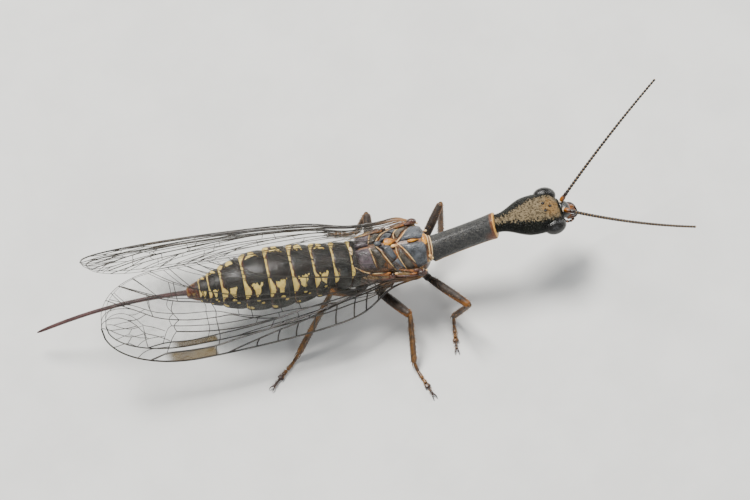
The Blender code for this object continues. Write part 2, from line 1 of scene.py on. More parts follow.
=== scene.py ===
# %% [markdown]
# # A snakefly at life size
#
# This lesson dresses a small insect: a female snakefly, 23 mm from the end of her
# egg-laying tube to the tips of her feelers. The plain solids are already made. They load as
# a fixed frame, and every piece below is modelled round them, in the same place and size.
# We load the frame first.

import math
import random

import bpy
import numpy as np
from mathutils import Matrix, Vector


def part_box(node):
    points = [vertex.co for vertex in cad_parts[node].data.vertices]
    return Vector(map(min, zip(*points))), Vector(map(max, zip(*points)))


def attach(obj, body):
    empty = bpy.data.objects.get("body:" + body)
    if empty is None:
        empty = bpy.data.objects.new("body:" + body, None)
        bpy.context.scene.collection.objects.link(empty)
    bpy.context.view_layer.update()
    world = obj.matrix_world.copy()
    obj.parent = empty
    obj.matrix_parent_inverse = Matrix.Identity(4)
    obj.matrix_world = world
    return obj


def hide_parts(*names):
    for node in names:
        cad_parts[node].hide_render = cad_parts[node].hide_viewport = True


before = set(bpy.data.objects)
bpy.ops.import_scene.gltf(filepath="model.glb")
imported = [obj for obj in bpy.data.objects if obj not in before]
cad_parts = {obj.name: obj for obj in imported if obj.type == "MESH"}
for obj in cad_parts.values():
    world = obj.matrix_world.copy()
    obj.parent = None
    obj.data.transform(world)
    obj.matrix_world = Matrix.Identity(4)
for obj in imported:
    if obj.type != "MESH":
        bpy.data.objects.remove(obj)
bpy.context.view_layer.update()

# %% [markdown]
# ## Working in millimetres
#
# An insect is easier to think of in millimetres, looking along +X with the middle of its
# body on y = 0. The frame's own origin is elsewhere, so the two are tied together by the
# abdomen, which is the same left and right and ends at a known ring. Each finished piece
# is then moved and scaled once, in its mesh.

# %% Tie the insect's own millimetres to the frame
MM = 0.001
LAST_RING_X = -8.10
belly_low, belly_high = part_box("abdomen_rear")
ORIGIN = Vector((belly_low.x / MM - LAST_RING_X, (belly_low.y + belly_high.y) / 2.0 / MM, 0.0))
TO_FRAME = Matrix.Scale(MM, 4) @ Matrix.Translation(ORIGIN)
print("the insect's middle lies at", [round(v, 4) for v in ORIGIN], "mm in the frame")

# %% [markdown]
# ## The camera
#
# The photo was taken with a long lens from above the insect's right side. A long lens far
# away draws near and far parts at nearly one scale, so we take one too. The place on the
# back that the picture was measured from is put at its own pixel, and from there the
# middle of the view is found.

# %% Stand the camera where the photographer stood
PIXELS = (750, 500)
PIXELS_PER_MM = 28.7
BACK_POINT, BACK_PIXEL = Vector((0.0, 0.0, 3.0)), (415, 241)
VIEW_AZIMUTH, VIEW_ELEVATION = math.radians(-11), math.radians(65)
VIEW_DISTANCE, SENSOR_WIDTH = 300.0, 36.0
back_way = Vector((math.sin(VIEW_AZIMUTH) * math.cos(VIEW_ELEVATION),
                   -math.cos(VIEW_AZIMUTH) * math.cos(VIEW_ELEVATION), math.sin(VIEW_ELEVATION)))
right_way = Vector((math.cos(VIEW_AZIMUTH), math.sin(VIEW_AZIMUTH), 0.0))
up_way = back_way.cross(right_way)
aim = (BACK_POINT + right_way * (PIXELS[0] / 2 - BACK_PIXEL[0]) / PIXELS_PER_MM
       + up_way * (BACK_PIXEL[1] - PIXELS[1] / 2) / PIXELS_PER_MM)
camera = bpy.data.objects.new("camera", bpy.data.cameras.new("camera"))
bpy.context.scene.collection.objects.link(camera)
camera.data.sensor_width = SENSOR_WIDTH
camera.data.lens = SENSOR_WIDTH * VIEW_DISTANCE * PIXELS_PER_MM / PIXELS[0]
camera.data.clip_start, camera.data.clip_end = 0.01, 5.0
camera.location = TO_FRAME @ (aim + back_way * VIEW_DISTANCE)
camera.rotation_euler = Matrix((right_way, up_way, back_way)).transposed().to_euler()
bpy.context.scene.camera = camera
print("lens", round(camera.data.lens, 1), "mm at", round(VIEW_DISTANCE), "mm")

# %% [markdown]
# ## A few hands for modelling
#
# Most of an insect is a chain of rounded tubes. Such a body can be lofted from sections by
# code, or sculpted, but the plainest way is the one used by hand: put down a filled
# circle, extrude it, scale the new end, and go on. An operator acts on all that is
# selected, and the frame arrives selected, so everything is deselected first.


# %% Select nothing, and finish with a modifier
def deselect_all():
    if bpy.context.object is not None and bpy.context.object.mode != "OBJECT":
        bpy.ops.object.mode_set(mode="OBJECT")
    bpy.ops.object.select_all(action="DESELECT")


def only(piece):
    deselect_all()
    bpy.context.view_layer.objects.active = piece
    piece.select_set(True)


def apply_modifier(piece, kind, **options):
    """Add one modifier, set it, and apply it."""
    only(piece)
    modifier = piece.modifiers.new(kind.lower(), kind)
    for option, value in options.items():
        setattr(modifier, option, value)
    bpy.ops.object.modifier_apply(modifier=modifier.name)


def rounded(piece, levels):
    if levels:
        apply_modifier(piece, "SUBSURF", levels=levels, render_levels=levels)


# %% A body grown by extruding, along +X
def grow(name, stations, sides=24, levels=1):
    """Each station is (x, half width, half height, rise of its middle)."""
    deselect_all()
    x, wide, high, rise = stations[0]
    bpy.ops.mesh.primitive_circle_add(vertices=sides, radius=1.0, fill_type="NGON",
                                      rotation=(0.0, math.pi / 2.0, 0.0))
    piece = bpy.context.object
    piece.name = name
    bpy.ops.object.transform_apply(location=True, rotation=True, scale=True)
    bpy.ops.object.mode_set(mode="EDIT")
    bpy.ops.mesh.select_all(action="SELECT")
    bpy.ops.transform.resize(value=(1.0, wide, high), center_override=(0.0, 0.0, 0.0))
    bpy.ops.transform.translate(value=(x, 0.0, rise))
    for near, far in zip(stations, stations[1:]):
        bpy.ops.mesh.extrude_region_move(
            TRANSFORM_OT_translate={"value": (far[0] - near[0], 0.0, far[3] - near[3])})
        bpy.ops.transform.resize(value=(1.0, far[1] / near[1], far[2] / near[2]),
                                 center_override=(far[0], 0.0, far[3]))
    bpy.ops.mesh.select_all(action="SELECT")
    bpy.ops.mesh.normals_make_consistent(inside=False)
    bpy.ops.object.mode_set(mode="OBJECT")
    rounded(piece, levels)
    return piece


# %% A rounded lump, from a sphere with one pole flattened
def lump(name, centre, radii, flat=0.0, segments=20, rings=12):
    """A flat above 0 presses the lower half in towards its middle."""
    deselect_all()
    bpy.ops.mesh.primitive_uv_sphere_add(segments=segments, ring_count=rings, radius=1.0)
    piece = bpy.context.object
    piece.name = name
    bpy.ops.object.mode_set(mode="EDIT")
    bpy.ops.mesh.select_all(action="DESELECT")
    bpy.ops.object.mode_set(mode="OBJECT")
    for vertex in piece.data.vertices:
        vertex.select = vertex.co.z < -0.01
    bpy.ops.object.mode_set(mode="EDIT")
    bpy.ops.transform.resize(value=(1.0, 1.0, 1.0 - flat), center_override=(0.0, 0.0, 0.0))
    bpy.ops.mesh.select_all(action="SELECT")
    bpy.ops.transform.resize(value=tuple(radii), center_override=(0.0, 0.0, 0.0))
    bpy.ops.transform.translate(value=tuple(centre))
    bpy.ops.object.mode_set(mode="OBJECT")
    return piece


# %% [markdown]
# ## Each piece remembers its own place
#
# Markings follow the body, such as a pale band behind each ring or a dark stripe down a
# thigh. If a pattern reads the piece's own straight, unbent coordinates, it can be written
# in a few sums. So before a piece is bent or placed, each of its points stores where it
# was in an attribute, and the material reads that.


# %% Store an attribute, bend along a line, and turn to a direction
def coordinates(piece):
    flat = np.zeros(len(piece.data.vertices) * 3)
    piece.data.vertices.foreach_get("co", flat)
    return flat.reshape(-1, 3)


def reshape(piece, points):
    piece.data.vertices.foreach_set("co", np.asarray(points, float).ravel())
    piece.data.update()


def remember(piece, values=None):
    """Store a vector for each point, its own coordinates unless others are given."""
    stored = piece.data.attributes.get("place")
    if stored is None:
        stored = piece.data.attributes.new("place", "FLOAT_VECTOR", "POINT")
    values = coordinates(piece) if values is None else values
    stored.data.foreach_set("vector", np.asarray(values, np.float32).ravel())
    return piece


def facing(start, end):
    """The matrix that lays +X from start towards end, with +Z as near to up as it can be."""
    along = (Vector(end) - Vector(start)).normalized()
    side = Vector((0.0, 0.0, 1.0)).cross(along).normalized()
    top = along.cross(side)
    turned = Matrix((along, side, top)).transposed().to_4x4()
    return Matrix.Translation(start) @ turned


def lay_along(piece, line):
    """Bend a piece made along +X so that its axis follows a line of points."""
    line = np.array([tuple(point) for point in line])
    steps = np.linalg.norm(np.diff(line, axis=0), axis=1)
    gone = np.concatenate([[0.0], np.cumsum(steps)])
    tangent = np.gradient(line, gone, axis=0)
    tangent /= np.linalg.norm(tangent, axis=1)[:, None]
    side = np.cross((0.0, 0.0, 1.0), tangent)
    side /= np.linalg.norm(side, axis=1)[:, None]
    top = np.cross(tangent, side)
    points = coordinates(piece)
    x = points[:, 0]

    def along(table):
        return np.stack([np.interp(x, gone, table[:, axis]) for axis in range(3)], axis=1)

    past = (x - np.clip(x, 0.0, gone[-1]))[:, None]
    reshape(piece, along(line) + along(tangent) * past + along(side) * points[:, 1:2]
            + along(top) * points[:, 2:3])


def join(name, pieces):
    """One object out of several, keeping each one's stored places."""
    deselect_all()
    for piece in pieces:
        piece.select_set(True)
    bpy.context.view_layer.objects.active = pieces[0]
    bpy.ops.object.join()
    pieces[0].name = name
    return pieces[0]


def ramp(value, low, high):
    """0 below low, 1 above high, and a soft rise between."""
    part = min(max((value - low) / (high - low), 0.0), 1.0)
    return part * part * (3.0 - 2.0 * part)


def between(first, second, part):
    return first + (second - first) * part


# %% [markdown]
# ## Handing a piece over
#
# A finished piece is smoothed, scaled to metres in its mesh, given its material, and tied
# to the frame: it rides on the one body, and hides the plain solids that it stands for.


# %% Finish a piece
def hand_over(piece, name, material, nodes=(), smooth=60.0):
    piece.name = name
    piece.data.name = name
    piece.data.transform(TO_FRAME)
    only(piece)
    bpy.ops.object.shade_smooth_by_angle(angle=math.radians(smooth))
    piece.data.materials.clear()
    piece.data.materials.append(material)
    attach(piece, "root")
    if nodes:
        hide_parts(*nodes)
    return piece


# %% [markdown]
# ## Paint: a few words for shader nodes
#
# Insect shell is never one flat colour. Each finish here mixes two or three colours by
# masks, and roughens the gloss with fine relief. These short functions add the nodes, so
# that each material below reads like a recipe.


# %% Short words for nodes
def node(tree, kind, inputs=None, **options):
    made = tree.nodes.new(kind)
    for option, value in options.items():
        setattr(made, option, value)
    for socket, value in (inputs or {}).items():
        if isinstance(value, bpy.types.NodeSocket):
            tree.links.new(value, made.inputs[socket])
        else:
            made.inputs[socket].default_value = value
    return made


def calc(tree, operation, first, second=0.0):
    return node(tree, "ShaderNodeMath", {0: first, 1: second}, operation=operation).outputs[0]


def plus(tree, first, second):
    return calc(tree, "ADD", first, second)


def minus(tree, first, second):
    return calc(tree, "SUBTRACT", first, second)


def times(tree, first, second):
    return calc(tree, "MULTIPLY", first, second)


def larger(tree, first, second):
    return calc(tree, "MAXIMUM", first, second)


def size_of(tree, value):
    return calc(tree, "ABSOLUTE", value)


def step(tree, value, low, high):
    """0 below low, 1 above high, soft between; high may be the lower one, to turn it round."""
    turned = low > high
    made = node(tree, "ShaderNodeMapRange", {"Value": value, "From Min": min(low, high),
                                             "From Max": max(low, high)},
                interpolation_type="SMOOTHSTEP")
    if turned:
        made.inputs["To Min"].default_value, made.inputs["To Max"].default_value = 1.0, 0.0
    return made.outputs["Result"]


def blend(tree, share, first, second):
    made = node(tree, "ShaderNodeMix", {0: share, 6: first, 7: second}, data_type="RGBA")
    return made.outputs[2]


def colour(red, green, blue):
    """A screen colour, 0 to 255, as the linear numbers that a shader wants."""
    return tuple((v / 255.0 / 12.92 if v < 10 else ((v / 255.0 + 0.055) / 1.055) ** 2.4)
                 for v in (red, green, blue)) + (1.0,)


def spot_of(tree):
    return node(tree, "ShaderNodeAttribute", attribute_name="place").outputs["Vector"]


def place_of(tree):
    """The stored place, whole and as its three parts."""
    spot = spot_of(tree)
    parts = node(tree, "ShaderNodeSeparateXYZ", {0: spot})
    return spot, parts.outputs[0], parts.outputs[1], parts.outputs[2]


def new_material(name, roughness=0.4, coat=0.0):
    material = bpy.data.materials.new(name)
    material.use_nodes = True
    shader = material.node_tree.nodes["Principled BSDF"]
    shader.inputs["Roughness"].default_value = roughness
    shader.inputs["Coat Weight"].default_value = coat
    shader.inputs["Coat Roughness"].default_value = 0.12
    return material, material.node_tree, shader


# %% [markdown]
# ## Three shared effects
#
# Nearly every plate has the same fine things: a mottled colour, a skin of small wrinkles
# and pits, and markings with slightly ragged edges. Each is a node group with named
# sockets, built once and set differently in every finish.


# %% Group: mottled colour
def effect(name, inputs, outputs):
    group = bpy.data.node_groups.new(name, "ShaderNodeTree")
    for label, kind, value in inputs:
        socket = group.interface.new_socket(label, in_out="INPUT", socket_type=kind)
        if value is not None:
            socket.default_value = value
    for label, kind in outputs:
        group.interface.new_socket(label, in_out="OUTPUT", socket_type=kind)
    start = group.nodes.new("NodeGroupInput")
    end = group.nodes.new("NodeGroupOutput")
    return group, start.outputs, end.inputs


mottle, given, result = effect("mottled_shell", [
    ("Vector", "NodeSocketVector", None), ("Scale", "NodeSocketFloat", 3.0),
    ("Light", "NodeSocketColor", (0.5, 0.4, 0.3, 1.0)), ("Dark", "NodeSocketColor", (0.1, 0.08, 0.06, 1.0)),
    ("Evenness", "NodeSocketFloat", 0.5)], [("Color", "NodeSocketColor")])
clouds = node(mottle, "ShaderNodeTexNoise", {"Vector": given["Vector"], "Scale": given["Scale"],
                                             "Detail": 6.0, "Roughness": 0.6})
pushed = plus(mottle, clouds.outputs[0], minus(mottle, given["Evenness"], 0.5))
mottle.links.new(blend(mottle, step(mottle, pushed, 0.38, 0.64), given["Light"], given["Dark"]),
                 result["Color"])

# %% Group: fine wrinkles and pits
relief, given, result = effect("wrinkled_shell", [
    ("Vector", "NodeSocketVector", None), ("Wrinkles", "NodeSocketFloat", 12.0),
    ("Pits", "NodeSocketFloat", 14.0), ("Pit Depth", "NodeSocketFloat", 0.5)],
    [("Height", "NodeSocketFloat"), ("Pits", "NodeSocketFloat")])
folds = node(relief, "ShaderNodeTexNoise", {"Vector": given["Vector"], "Scale": given["Wrinkles"],
                                            "Detail": 5.0, "Roughness": 0.65, "Distortion": 0.6})
dots = node(relief, "ShaderNodeTexVoronoi", {"Vector": given["Vector"], "Scale": given["Pits"]})
hole = step(relief, dots.outputs["Distance"], 0.45, 0.10)
relief.links.new(minus(relief, folds.outputs[0], times(relief, hole, given["Pit Depth"])),
                 result["Height"])
relief.links.new(hole, result["Pits"])

# %% Group: a marking with a ragged edge
edge_group, given, result = effect("ragged_edge", [
    ("Vector", "NodeSocketVector", None), ("Value", "NodeSocketFloat", 0.0),
    ("Edge", "NodeSocketFloat", 0.5), ("Softness", "NodeSocketFloat", 0.05),
    ("Raggedness", "NodeSocketFloat", 0.05), ("Grain", "NodeSocketFloat", 8.0)],
    [("Mask", "NodeSocketFloat")])
rag = node(edge_group, "ShaderNodeTexNoise", {"Vector": given["Vector"], "Scale": given["Grain"],
                                              "Detail": 3.0})
moved = plus(edge_group, given["Value"],
             times(edge_group, minus(edge_group, rag.outputs[0], 0.5),
                  given["Raggedness"]))
soft = node(edge_group, "ShaderNodeMapRange", {
    "Value": moved, "From Min": minus(edge_group, given["Edge"], given["Softness"]),
    "From Max": plus(edge_group, given["Edge"], given["Softness"])},
    interpolation_type="SMOOTHSTEP")
edge_group.links.new(soft.outputs["Result"], result["Mask"])
print("effects:", mottle.name, relief.name, edge_group.name)


# %% Use a group in a material
def use(tree, group, inputs):
    made = node(tree, "ShaderNodeGroup", node_tree=group)
    for socket, value in inputs.items():
        if isinstance(value, bpy.types.NodeSocket):
            tree.links.new(value, made.inputs[socket])
        else:
            made.inputs[socket].default_value = value
    return made


def ragged(tree, vector, value, edge, softness=0.04, raggedness=0.08, grain=8.0):
    return use(tree, edge_group, {"Vector": vector, "Value": value, "Edge": edge, "Softness": softness,
                                  "Raggedness": raggedness, "Grain": grain}).outputs["Mask"]


def mottled(tree, vector, light, dark, scale=3.0, evenness=0.5):
    return use(tree, mottle, {"Vector": vector, "Scale": scale, "Light": light, "Dark": dark,
                              "Evenness": evenness}).outputs["Color"]


def stretched(tree, vector, factors):
    return node(tree, "ShaderNodeVectorMath", {0: vector, 1: factors}, operation="MULTIPLY").outputs[0]


def bumped(tree, shader, height, depth_mm):
    bump = node(tree, "ShaderNodeBump", {"Height": height, "Distance": depth_mm * MM, "Strength": 1.0})
    tree.links.new(bump.outputs[0], shader.inputs["Normal"])


def coloured(tree, shader, tone):
    tree.links.new(tone, shader.inputs["Base Color"])


def wrinkled(tree, shader, vector, wrinkles, pits, pit_depth, depth_mm):
    """Raise wrinkles and sink pits in the shell. Their height and mask come back for the paint."""
    grain = use(tree, relief, {"Vector": vector, "Wrinkles": wrinkles, "Pits": pits, "Pit Depth": pit_depth})
    bumped(tree, shader, grain.outputs["Height"], depth_mm)
    return grain.outputs


def plain_shell(name, light, dark, scale, roughness=0.4, coat=0.0, evenness=0.5):
    """A finish of two mottled colours, for a piece that has no markings of its own."""
    material, tree, shader = new_material(name, roughness, coat)
    spot = spot_of(tree)
    coloured(tree, shader, mottled(tree, spot, light, dark, scale, evenness))
    return material, tree, shader, spot


# %% [markdown]
# ## The head
#
# A snakefly's head is a flattened flask: a thin neck opens to a broad, level crown, widest
# just behind the eyes, and slopes to a short face. We grow it from the neck forward in its
# own frame and only then tilt and turn it, so its markings stay simple. Its half width at
# each share of the length is one smooth opening less one smooth closing.

# %% The head's own sizes and place
NECK = Vector((2.98, 0.20, 2.84))
HEAD_PITCH, HEAD_YAW = math.radians(9), math.radians(7.5)
HEAD_LENGTH, HEAD_HALF_WIDTH, HEAD_SWELL = 2.38, 0.75, 0.24
NECK_HALF_WIDTH, NECK_HALF_HEIGHT = 0.34, 0.27
FACE_NARROWING, FACE_LOWERING, FACE_DROP = 0.33, 0.18, 0.10
HEAD_PLACE = (Matrix.Translation(NECK) @ Matrix.Rotation(HEAD_YAW, 4, "Z")
              @ Matrix.Rotation(HEAD_PITCH, 4, "Y"))
EYE_PLACE, EYE_RADII = Vector((1.95, 0.61, 0.02)), Vector((0.41, 0.30, 0.31))


def head_half_width(share):
    return (NECK_HALF_WIDTH + (HEAD_HALF_WIDTH - NECK_HALF_WIDTH) * ramp(share, 0.0, 0.50)
            - FACE_NARROWING * ramp(share, 0.74, 1.04))


def head_half_height(share):
    return (NECK_HALF_HEIGHT + HEAD_SWELL * ramp(share, 0.02, 0.60)
            - FACE_LOWERING * ramp(share, 0.80, 1.0))


# %% Grow the head
HEAD_STOPS = (-0.20, -0.16, -0.08, 0.0, 0.06, 0.12, 0.18, 0.25, 0.32, 0.42, 0.52, 0.62, 0.72, 0.80, 0.87,
              0.93, 0.975, 1.0)
head_stations = [(share * HEAD_LENGTH, head_half_width(share), head_half_height(share),
                  -FACE_DROP * ramp(share, 0.75, 1.0)) for share in HEAD_STOPS]
head_skin = grow("head_skin", head_stations, sides=32, levels=2)
print("head:", len(head_skin.data.polygons), "faces")

# %% Level its crown, sink the furrow along it, and raise the brow beside each eye
CROWN_LEVELLING, FURROW_DEPTH, FURROW_WIDTH, FURROW_START = 0.055, 0.018, 0.05, 0.3
BROW_HEIGHT, BROW_ACROSS, BROW_ALONG = 0.05, (0.66, 0.16), (1.95, 0.36)
crown = coordinates(head_skin)
half_widths = np.array([head_half_width(min(max(x / HEAD_LENGTH, 0.0), 1.0)) for x in crown[:, 0]])
across = np.clip(crown[:, 1] / half_widths, -1.0, 1.0)
upper = crown[:, 2] > 0.0
flatten = CROWN_LEVELLING * np.sqrt(1.0 - across ** 2) * upper
furrow = FURROW_DEPTH * np.exp(-(crown[:, 1] / FURROW_WIDTH) ** 2) * upper * (crown[:, 0] > FURROW_START)
brow = (BROW_HEIGHT * np.exp(-((np.abs(across) - BROW_ACROSS[0]) / BROW_ACROSS[1]) ** 2)
        * np.exp(-((crown[:, 0] - BROW_ALONG[0]) / BROW_ALONG[1]) ** 2) * upper)
crown[:, 2] += -flatten - furrow + brow
reshape(head_skin, crown)
remember(head_skin)
head_skin.data.transform(HEAD_PLACE)
print("crown rises to", round(crown[:, 2].max(), 2), "mm above the head's axis")

# %% [markdown]
# ### The head's finish
#
# The crown carries a matt grey-beige band, wide between the eyes and drawn to a point at
# the neck, with fine pits and wrinkles. The sides are glossy and nearly black, with a
# green cast. An orange patch surrounds the three small eyes on the brow.

# %% Paint the head
BAND_LENGTH, BAND_NARROW, BAND_WIDENING = 1.55, 0.10, 0.34
BROW_PATCH, PATCH_RADIUS = (1.94, 0.0, 0.40), 0.32
head_paint, tree, shader = new_material("head_crown", 0.3)
shader.inputs["Specular IOR Level"].default_value = 0.14
spot, x, y, z = place_of(tree)
band_edge = plus(tree, times(tree, step(tree, x, 0.0, BAND_LENGTH), BAND_WIDENING), BAND_NARROW)
inside = minus(tree, band_edge, size_of(tree, y))
grainy = stretched(tree, spot, (1.0, 0.5, 0.5))
band = times(tree, ragged(tree, grainy, inside, 0.0, 0.035, 0.62, 22.0), step(tree, z, 0.05, 0.2))
band = times(tree, band, step(tree, x, 2.28, 2.16))
beige = mottled(tree, spot, colour(128, 113, 86), colour(80, 70, 52), 11.0, 0.46)
black = mottled(tree, spot, colour(18, 20, 12), colour(6, 7, 4), 4.0)
away = node(tree, "ShaderNodeVectorMath", {0: spot, 1: BROW_PATCH}, operation="DISTANCE").outputs[1]
orange_patch = ragged(tree, spot, minus(tree, PATCH_RADIUS, away), 0.0, 0.16, 0.6, 9.0)
beige = blend(tree, times(tree, orange_patch, 0.42), beige, colour(152, 106, 38))
tone = blend(tree, band, black, beige)
pits = wrinkled(tree, shader, stretched(tree, spot, (0.7, 1.3, 1.0)), 13.0, 16.0, 0.8, 0.045)
# The pits are painted darker: painted shade in the hollows of the crown.
coloured(tree, shader, blend(tree, times(tree, pits["Pits"], 0.7), tone, colour(24, 21, 17)))
tree.links.new(plus(tree, times(tree, band, 0.26), 0.25), shader.inputs["Roughness"])
hand_over(head_skin, "head_skin", head_paint, ["head"])

# %% [markdown]
# ### Eyes
#
# Each compound eye is a glossy grey-black dome that bulges from the side of the head. Its
# facets are far too small to model, so they are a fine cell pattern in the relief. The
# three small eyes on the brow are plain shining beads.

# %% Paint for eyes
eye_paint, tree, shader, spot = plain_shell("eye_dome", colour(27, 26, 24), colour(9, 9, 9), 3.0, 0.22, 0.12)
shader.inputs["Specular IOR Level"].default_value = 0.35
cells = node(tree, "ShaderNodeTexVoronoi", {"Vector": spot, "Scale": 42.0})
bumped(tree, shader, times(tree, cells.outputs["Distance"], -1.0), 0.006)
bead_paint = plain_shell("brow_bead", colour(26, 18, 13), colour(8, 7, 6), 9.0, 0.16, 0.3)[0]

# %% Model the two large eyes and the three beads
SIDES = ((1, "left"), (-1, "right"))
EYE_TURN, EYE_FRONT_THINNING = math.radians(-8), 0.12
BROW_BEADS = ((1.88, 0.0, 0.425), (1.66, 0.14, 0.442), (1.66, -0.14, 0.442))
BROW_BEAD_RADII = (0.062, 0.050, 0.043)
for side, label in SIDES:
    eye = lump("eye_" + label, (0.0, 0.0, 0.0), EYE_RADII, 0.0, 40, 24)
    points = coordinates(eye)
    points[:, 2] *= 1.0 - EYE_FRONT_THINNING * (points[:, 0] > 0) * (points[:, 0] / EYE_RADII.x)
    reshape(eye, points)
    remember(eye)
    eye.data.transform(HEAD_PLACE @ Matrix.Translation((EYE_PLACE.x, side * EYE_PLACE.y, EYE_PLACE.z))
                       @ Matrix.Rotation(side * EYE_TURN, 4, "Z"))
    hand_over(eye, "eye_dome_" + label, eye_paint, ["eye_" + label])

for count, place in enumerate(BROW_BEADS):
    bead = lump("brow_bead", (0.0, 0.0, 0.0), BROW_BEAD_RADII, 0.3, 16, 10)
    remember(bead)
    bead.data.transform(HEAD_PLACE @ Matrix.Translation(place))
    hand_over(bead, "brow_bead_%d" % count, bead_paint)
print("eyes: two large ones and", len(BROW_BEADS), "beads")

# %% [markdown]
# ### The face and mouth
#
# Below the brow a shining grey plate leads to the amber upper lip. Under it two hooked
# jaws close, and two pairs of jointed palps hang at the sides. The lip and plate are grown
# like the head. A jaw or palp is one short tube, bent along its own curved line.

# %% Paint for the face, lip and jaws
amber_paint, tree, shader = new_material("amber_jaw", 0.32, 0.15)
spot, x, _, z = place_of(tree)
tone = mottled(tree, spot, colour(146, 84, 3), colour(80, 40, 3), 5.0, 0.45)
dusky = ragged(tree, spot, plus(tree, x, size_of(tree, z)), 0.26, 0.10, 0.40, 8.0)
coloured(tree, shader, blend(tree, dusky, tone, colour(34, 17, 9)))
wrinkled(tree, shader, spot, 14.0, 20.0, 0.3, 0.012)

face_paint, tree, shader = new_material("face_plate", 0.28, 0.1)
spot, x, _, _ = place_of(tree)
grey = mottled(tree, spot, colour(30, 32, 28), colour(9, 10, 8), 5.0)
coloured(tree, shader, blend(tree, step(tree, x, 0.37, 0.43), grey, colour(150, 74, 8)))
wrinkled(tree, shader, spot, 8.0, 18.0, 0.3, 0.012)

palp_paint, tree, shader = new_material("palp_joint", 0.35, 0.2)
spot, x, _, _ = place_of(tree)
ring = calc(tree, "FRACT", times(tree, x, 5.2))
coloured(tree, shader, blend(tree, step(tree, ring, 0.78, 0.9), colour(46, 30, 20), colour(170, 98, 40)))
wrinkled(tree, shader, spot, 16.0, 24.0, 0.3, 0.01)

# %% Grow the face plate and the lip
plate = grow("face_plate", [(0.0, 0.36, 0.28, 0.0), (0.12, 0.36, 0.27, -0.01), (0.28, 0.32, 0.24, -0.04),
                            (0.40, 0.27, 0.18, -0.08), (0.46, 0.22, 0.12, -0.11)], 24, 2)
remember(plate)
plate.data.transform(HEAD_PLACE @ Matrix.Translation((2.26, 0.0, -0.05)))
hand_over(plate, "face_plate", face_paint)

NOTCH_DEPTH, NOTCH_WIDTH = 0.05, 0.05
lip = grow("upper_lip", [(0.0, 0.17, 0.10, 0.0), (0.06, 0.19, 0.11, -0.02), (0.16, 0.18, 0.09, -0.04),
                         (0.26, 0.15, 0.07, -0.08), (0.31, 0.09, 0.04, -0.10)], 20, 2)
points = coordinates(lip)
on_top = (points[:, 2] > -0.05) * (points[:, 0] > 0.06)
points[:, 2] -= NOTCH_DEPTH * np.exp(-(points[:, 1] / NOTCH_WIDTH) ** 2) * on_top
reshape(lip, points)
remember(lip)
lip.data.transform(HEAD_PLACE @ Matrix.Translation((2.66, 0.0, -0.17)))
hand_over(lip, "upper_lip", amber_paint, ["mouthparts"])


# %% Bend a tube along a line
def smooth_line(points, rounds=3):
    """Cut the corners of a line a few times, keeping its ends."""
    points = [Vector(point) for point in points]
    for _ in range(rounds):
        cut = [points[0]]
        for a, b in zip(points, points[1:]):
            cut += [between(a, b, 0.25), between(a, b, 0.75)]
        points = cut + [points[-1]]
    return points


def line_length(line):
    return sum((b - a).length for a, b in zip(line, line[1:]))


def bent_tube(name, line, radii, sides=12, flat=1.0):
    """A tube along a line of points, its radii spread evenly from end to end."""
    line = smooth_line(line)
    length = line_length(line)
    stops = len(radii) - 1
    piece = grow(name, [(length * k / stops, radius, radius * flat, 0.0)
                        for k, radius in enumerate(radii)], sides, 1)
    remember(piece)
    lay_along(piece, line)
    return piece


# %% Bend jaws and palps
JAW_LINE = ((2.54, 0.20, -0.24), (2.76, 0.26, -0.28), (2.96, 0.20, -0.36), (3.05, -0.05, -0.40))
JAW_RADII = (0.075, 0.090, 0.085, 0.07, 0.040, 0.010)
PALPS = ((2.40, 0.27, 0.46, -0.36), (2.48, 0.14, 0.42, -0.40))
PALP_JOINT_RADII, PALP_TIP_RADIUS = (0.034, 0.050, 0.054, 0.038), 0.018
for side, label in SIDES:
    jaw = bent_tube("jaw", [(x, side * y, z) for x, y, z in JAW_LINE], JAW_RADII, 12, 0.7)
    jaw.data.transform(HEAD_PLACE)
    hand_over(jaw, "jaw_" + label, amber_paint)
    for number, (start, spread, reach, drop) in enumerate(PALPS):
        line = [(start, side * spread, -0.28), (start + 0.12, side * (spread + 0.13), -0.34),
                (start + reach * 0.7, side * (spread + 0.11), drop - 0.02),
                (start + reach, side * (spread - 0.02), drop - 0.10)]
        palp = bent_tube("palp", line, PALP_JOINT_RADII * 4 + (PALP_TIP_RADIUS,), 10)
        palp.data.transform(HEAD_PLACE)
        hand_over(palp, "palp_%s_%d" % (label, number), palp_paint)
print("face: plate, lip, two jaws,", 2 * len(PALPS), "palps")

# %% [markdown]
# ### Feelers
#
# Each feeler starts with a stout amber joint, then a small one, then some forty black beads
# with a thin pale ring between each two. The stout joint sits in a shining socket, whose pale
# colour is a painted highlight on its rim. One bead is modelled by extruding, and copied down
# the curve, a little smaller each time. The solids hold the curve: it leaves the brow and
# runs out in one long, shallow bow.

# %% Feeler sizes, and the finish of its beads and sockets
FEELER_BEADS, BEAD_RADIUS, BEAD_OVERLAP, FEELER_THINNING = 42, 0.060, 1.02, 0.30
FEELER_ROOT, SOCKET_DEPTH, STOUT_LENGTH = (2.56, 0.31, 0.29), 0.22, 0.36
FEELERS = {"left": (1, 5.25, Vector((0.700, 0.480, 0.530)), Vector((-0.04, 0.02, 0.08))),
           "right": (-1, 4.98, Vector((0.790, -0.470, 0.400)), Vector((0.0, -0.10, -0.05)))}

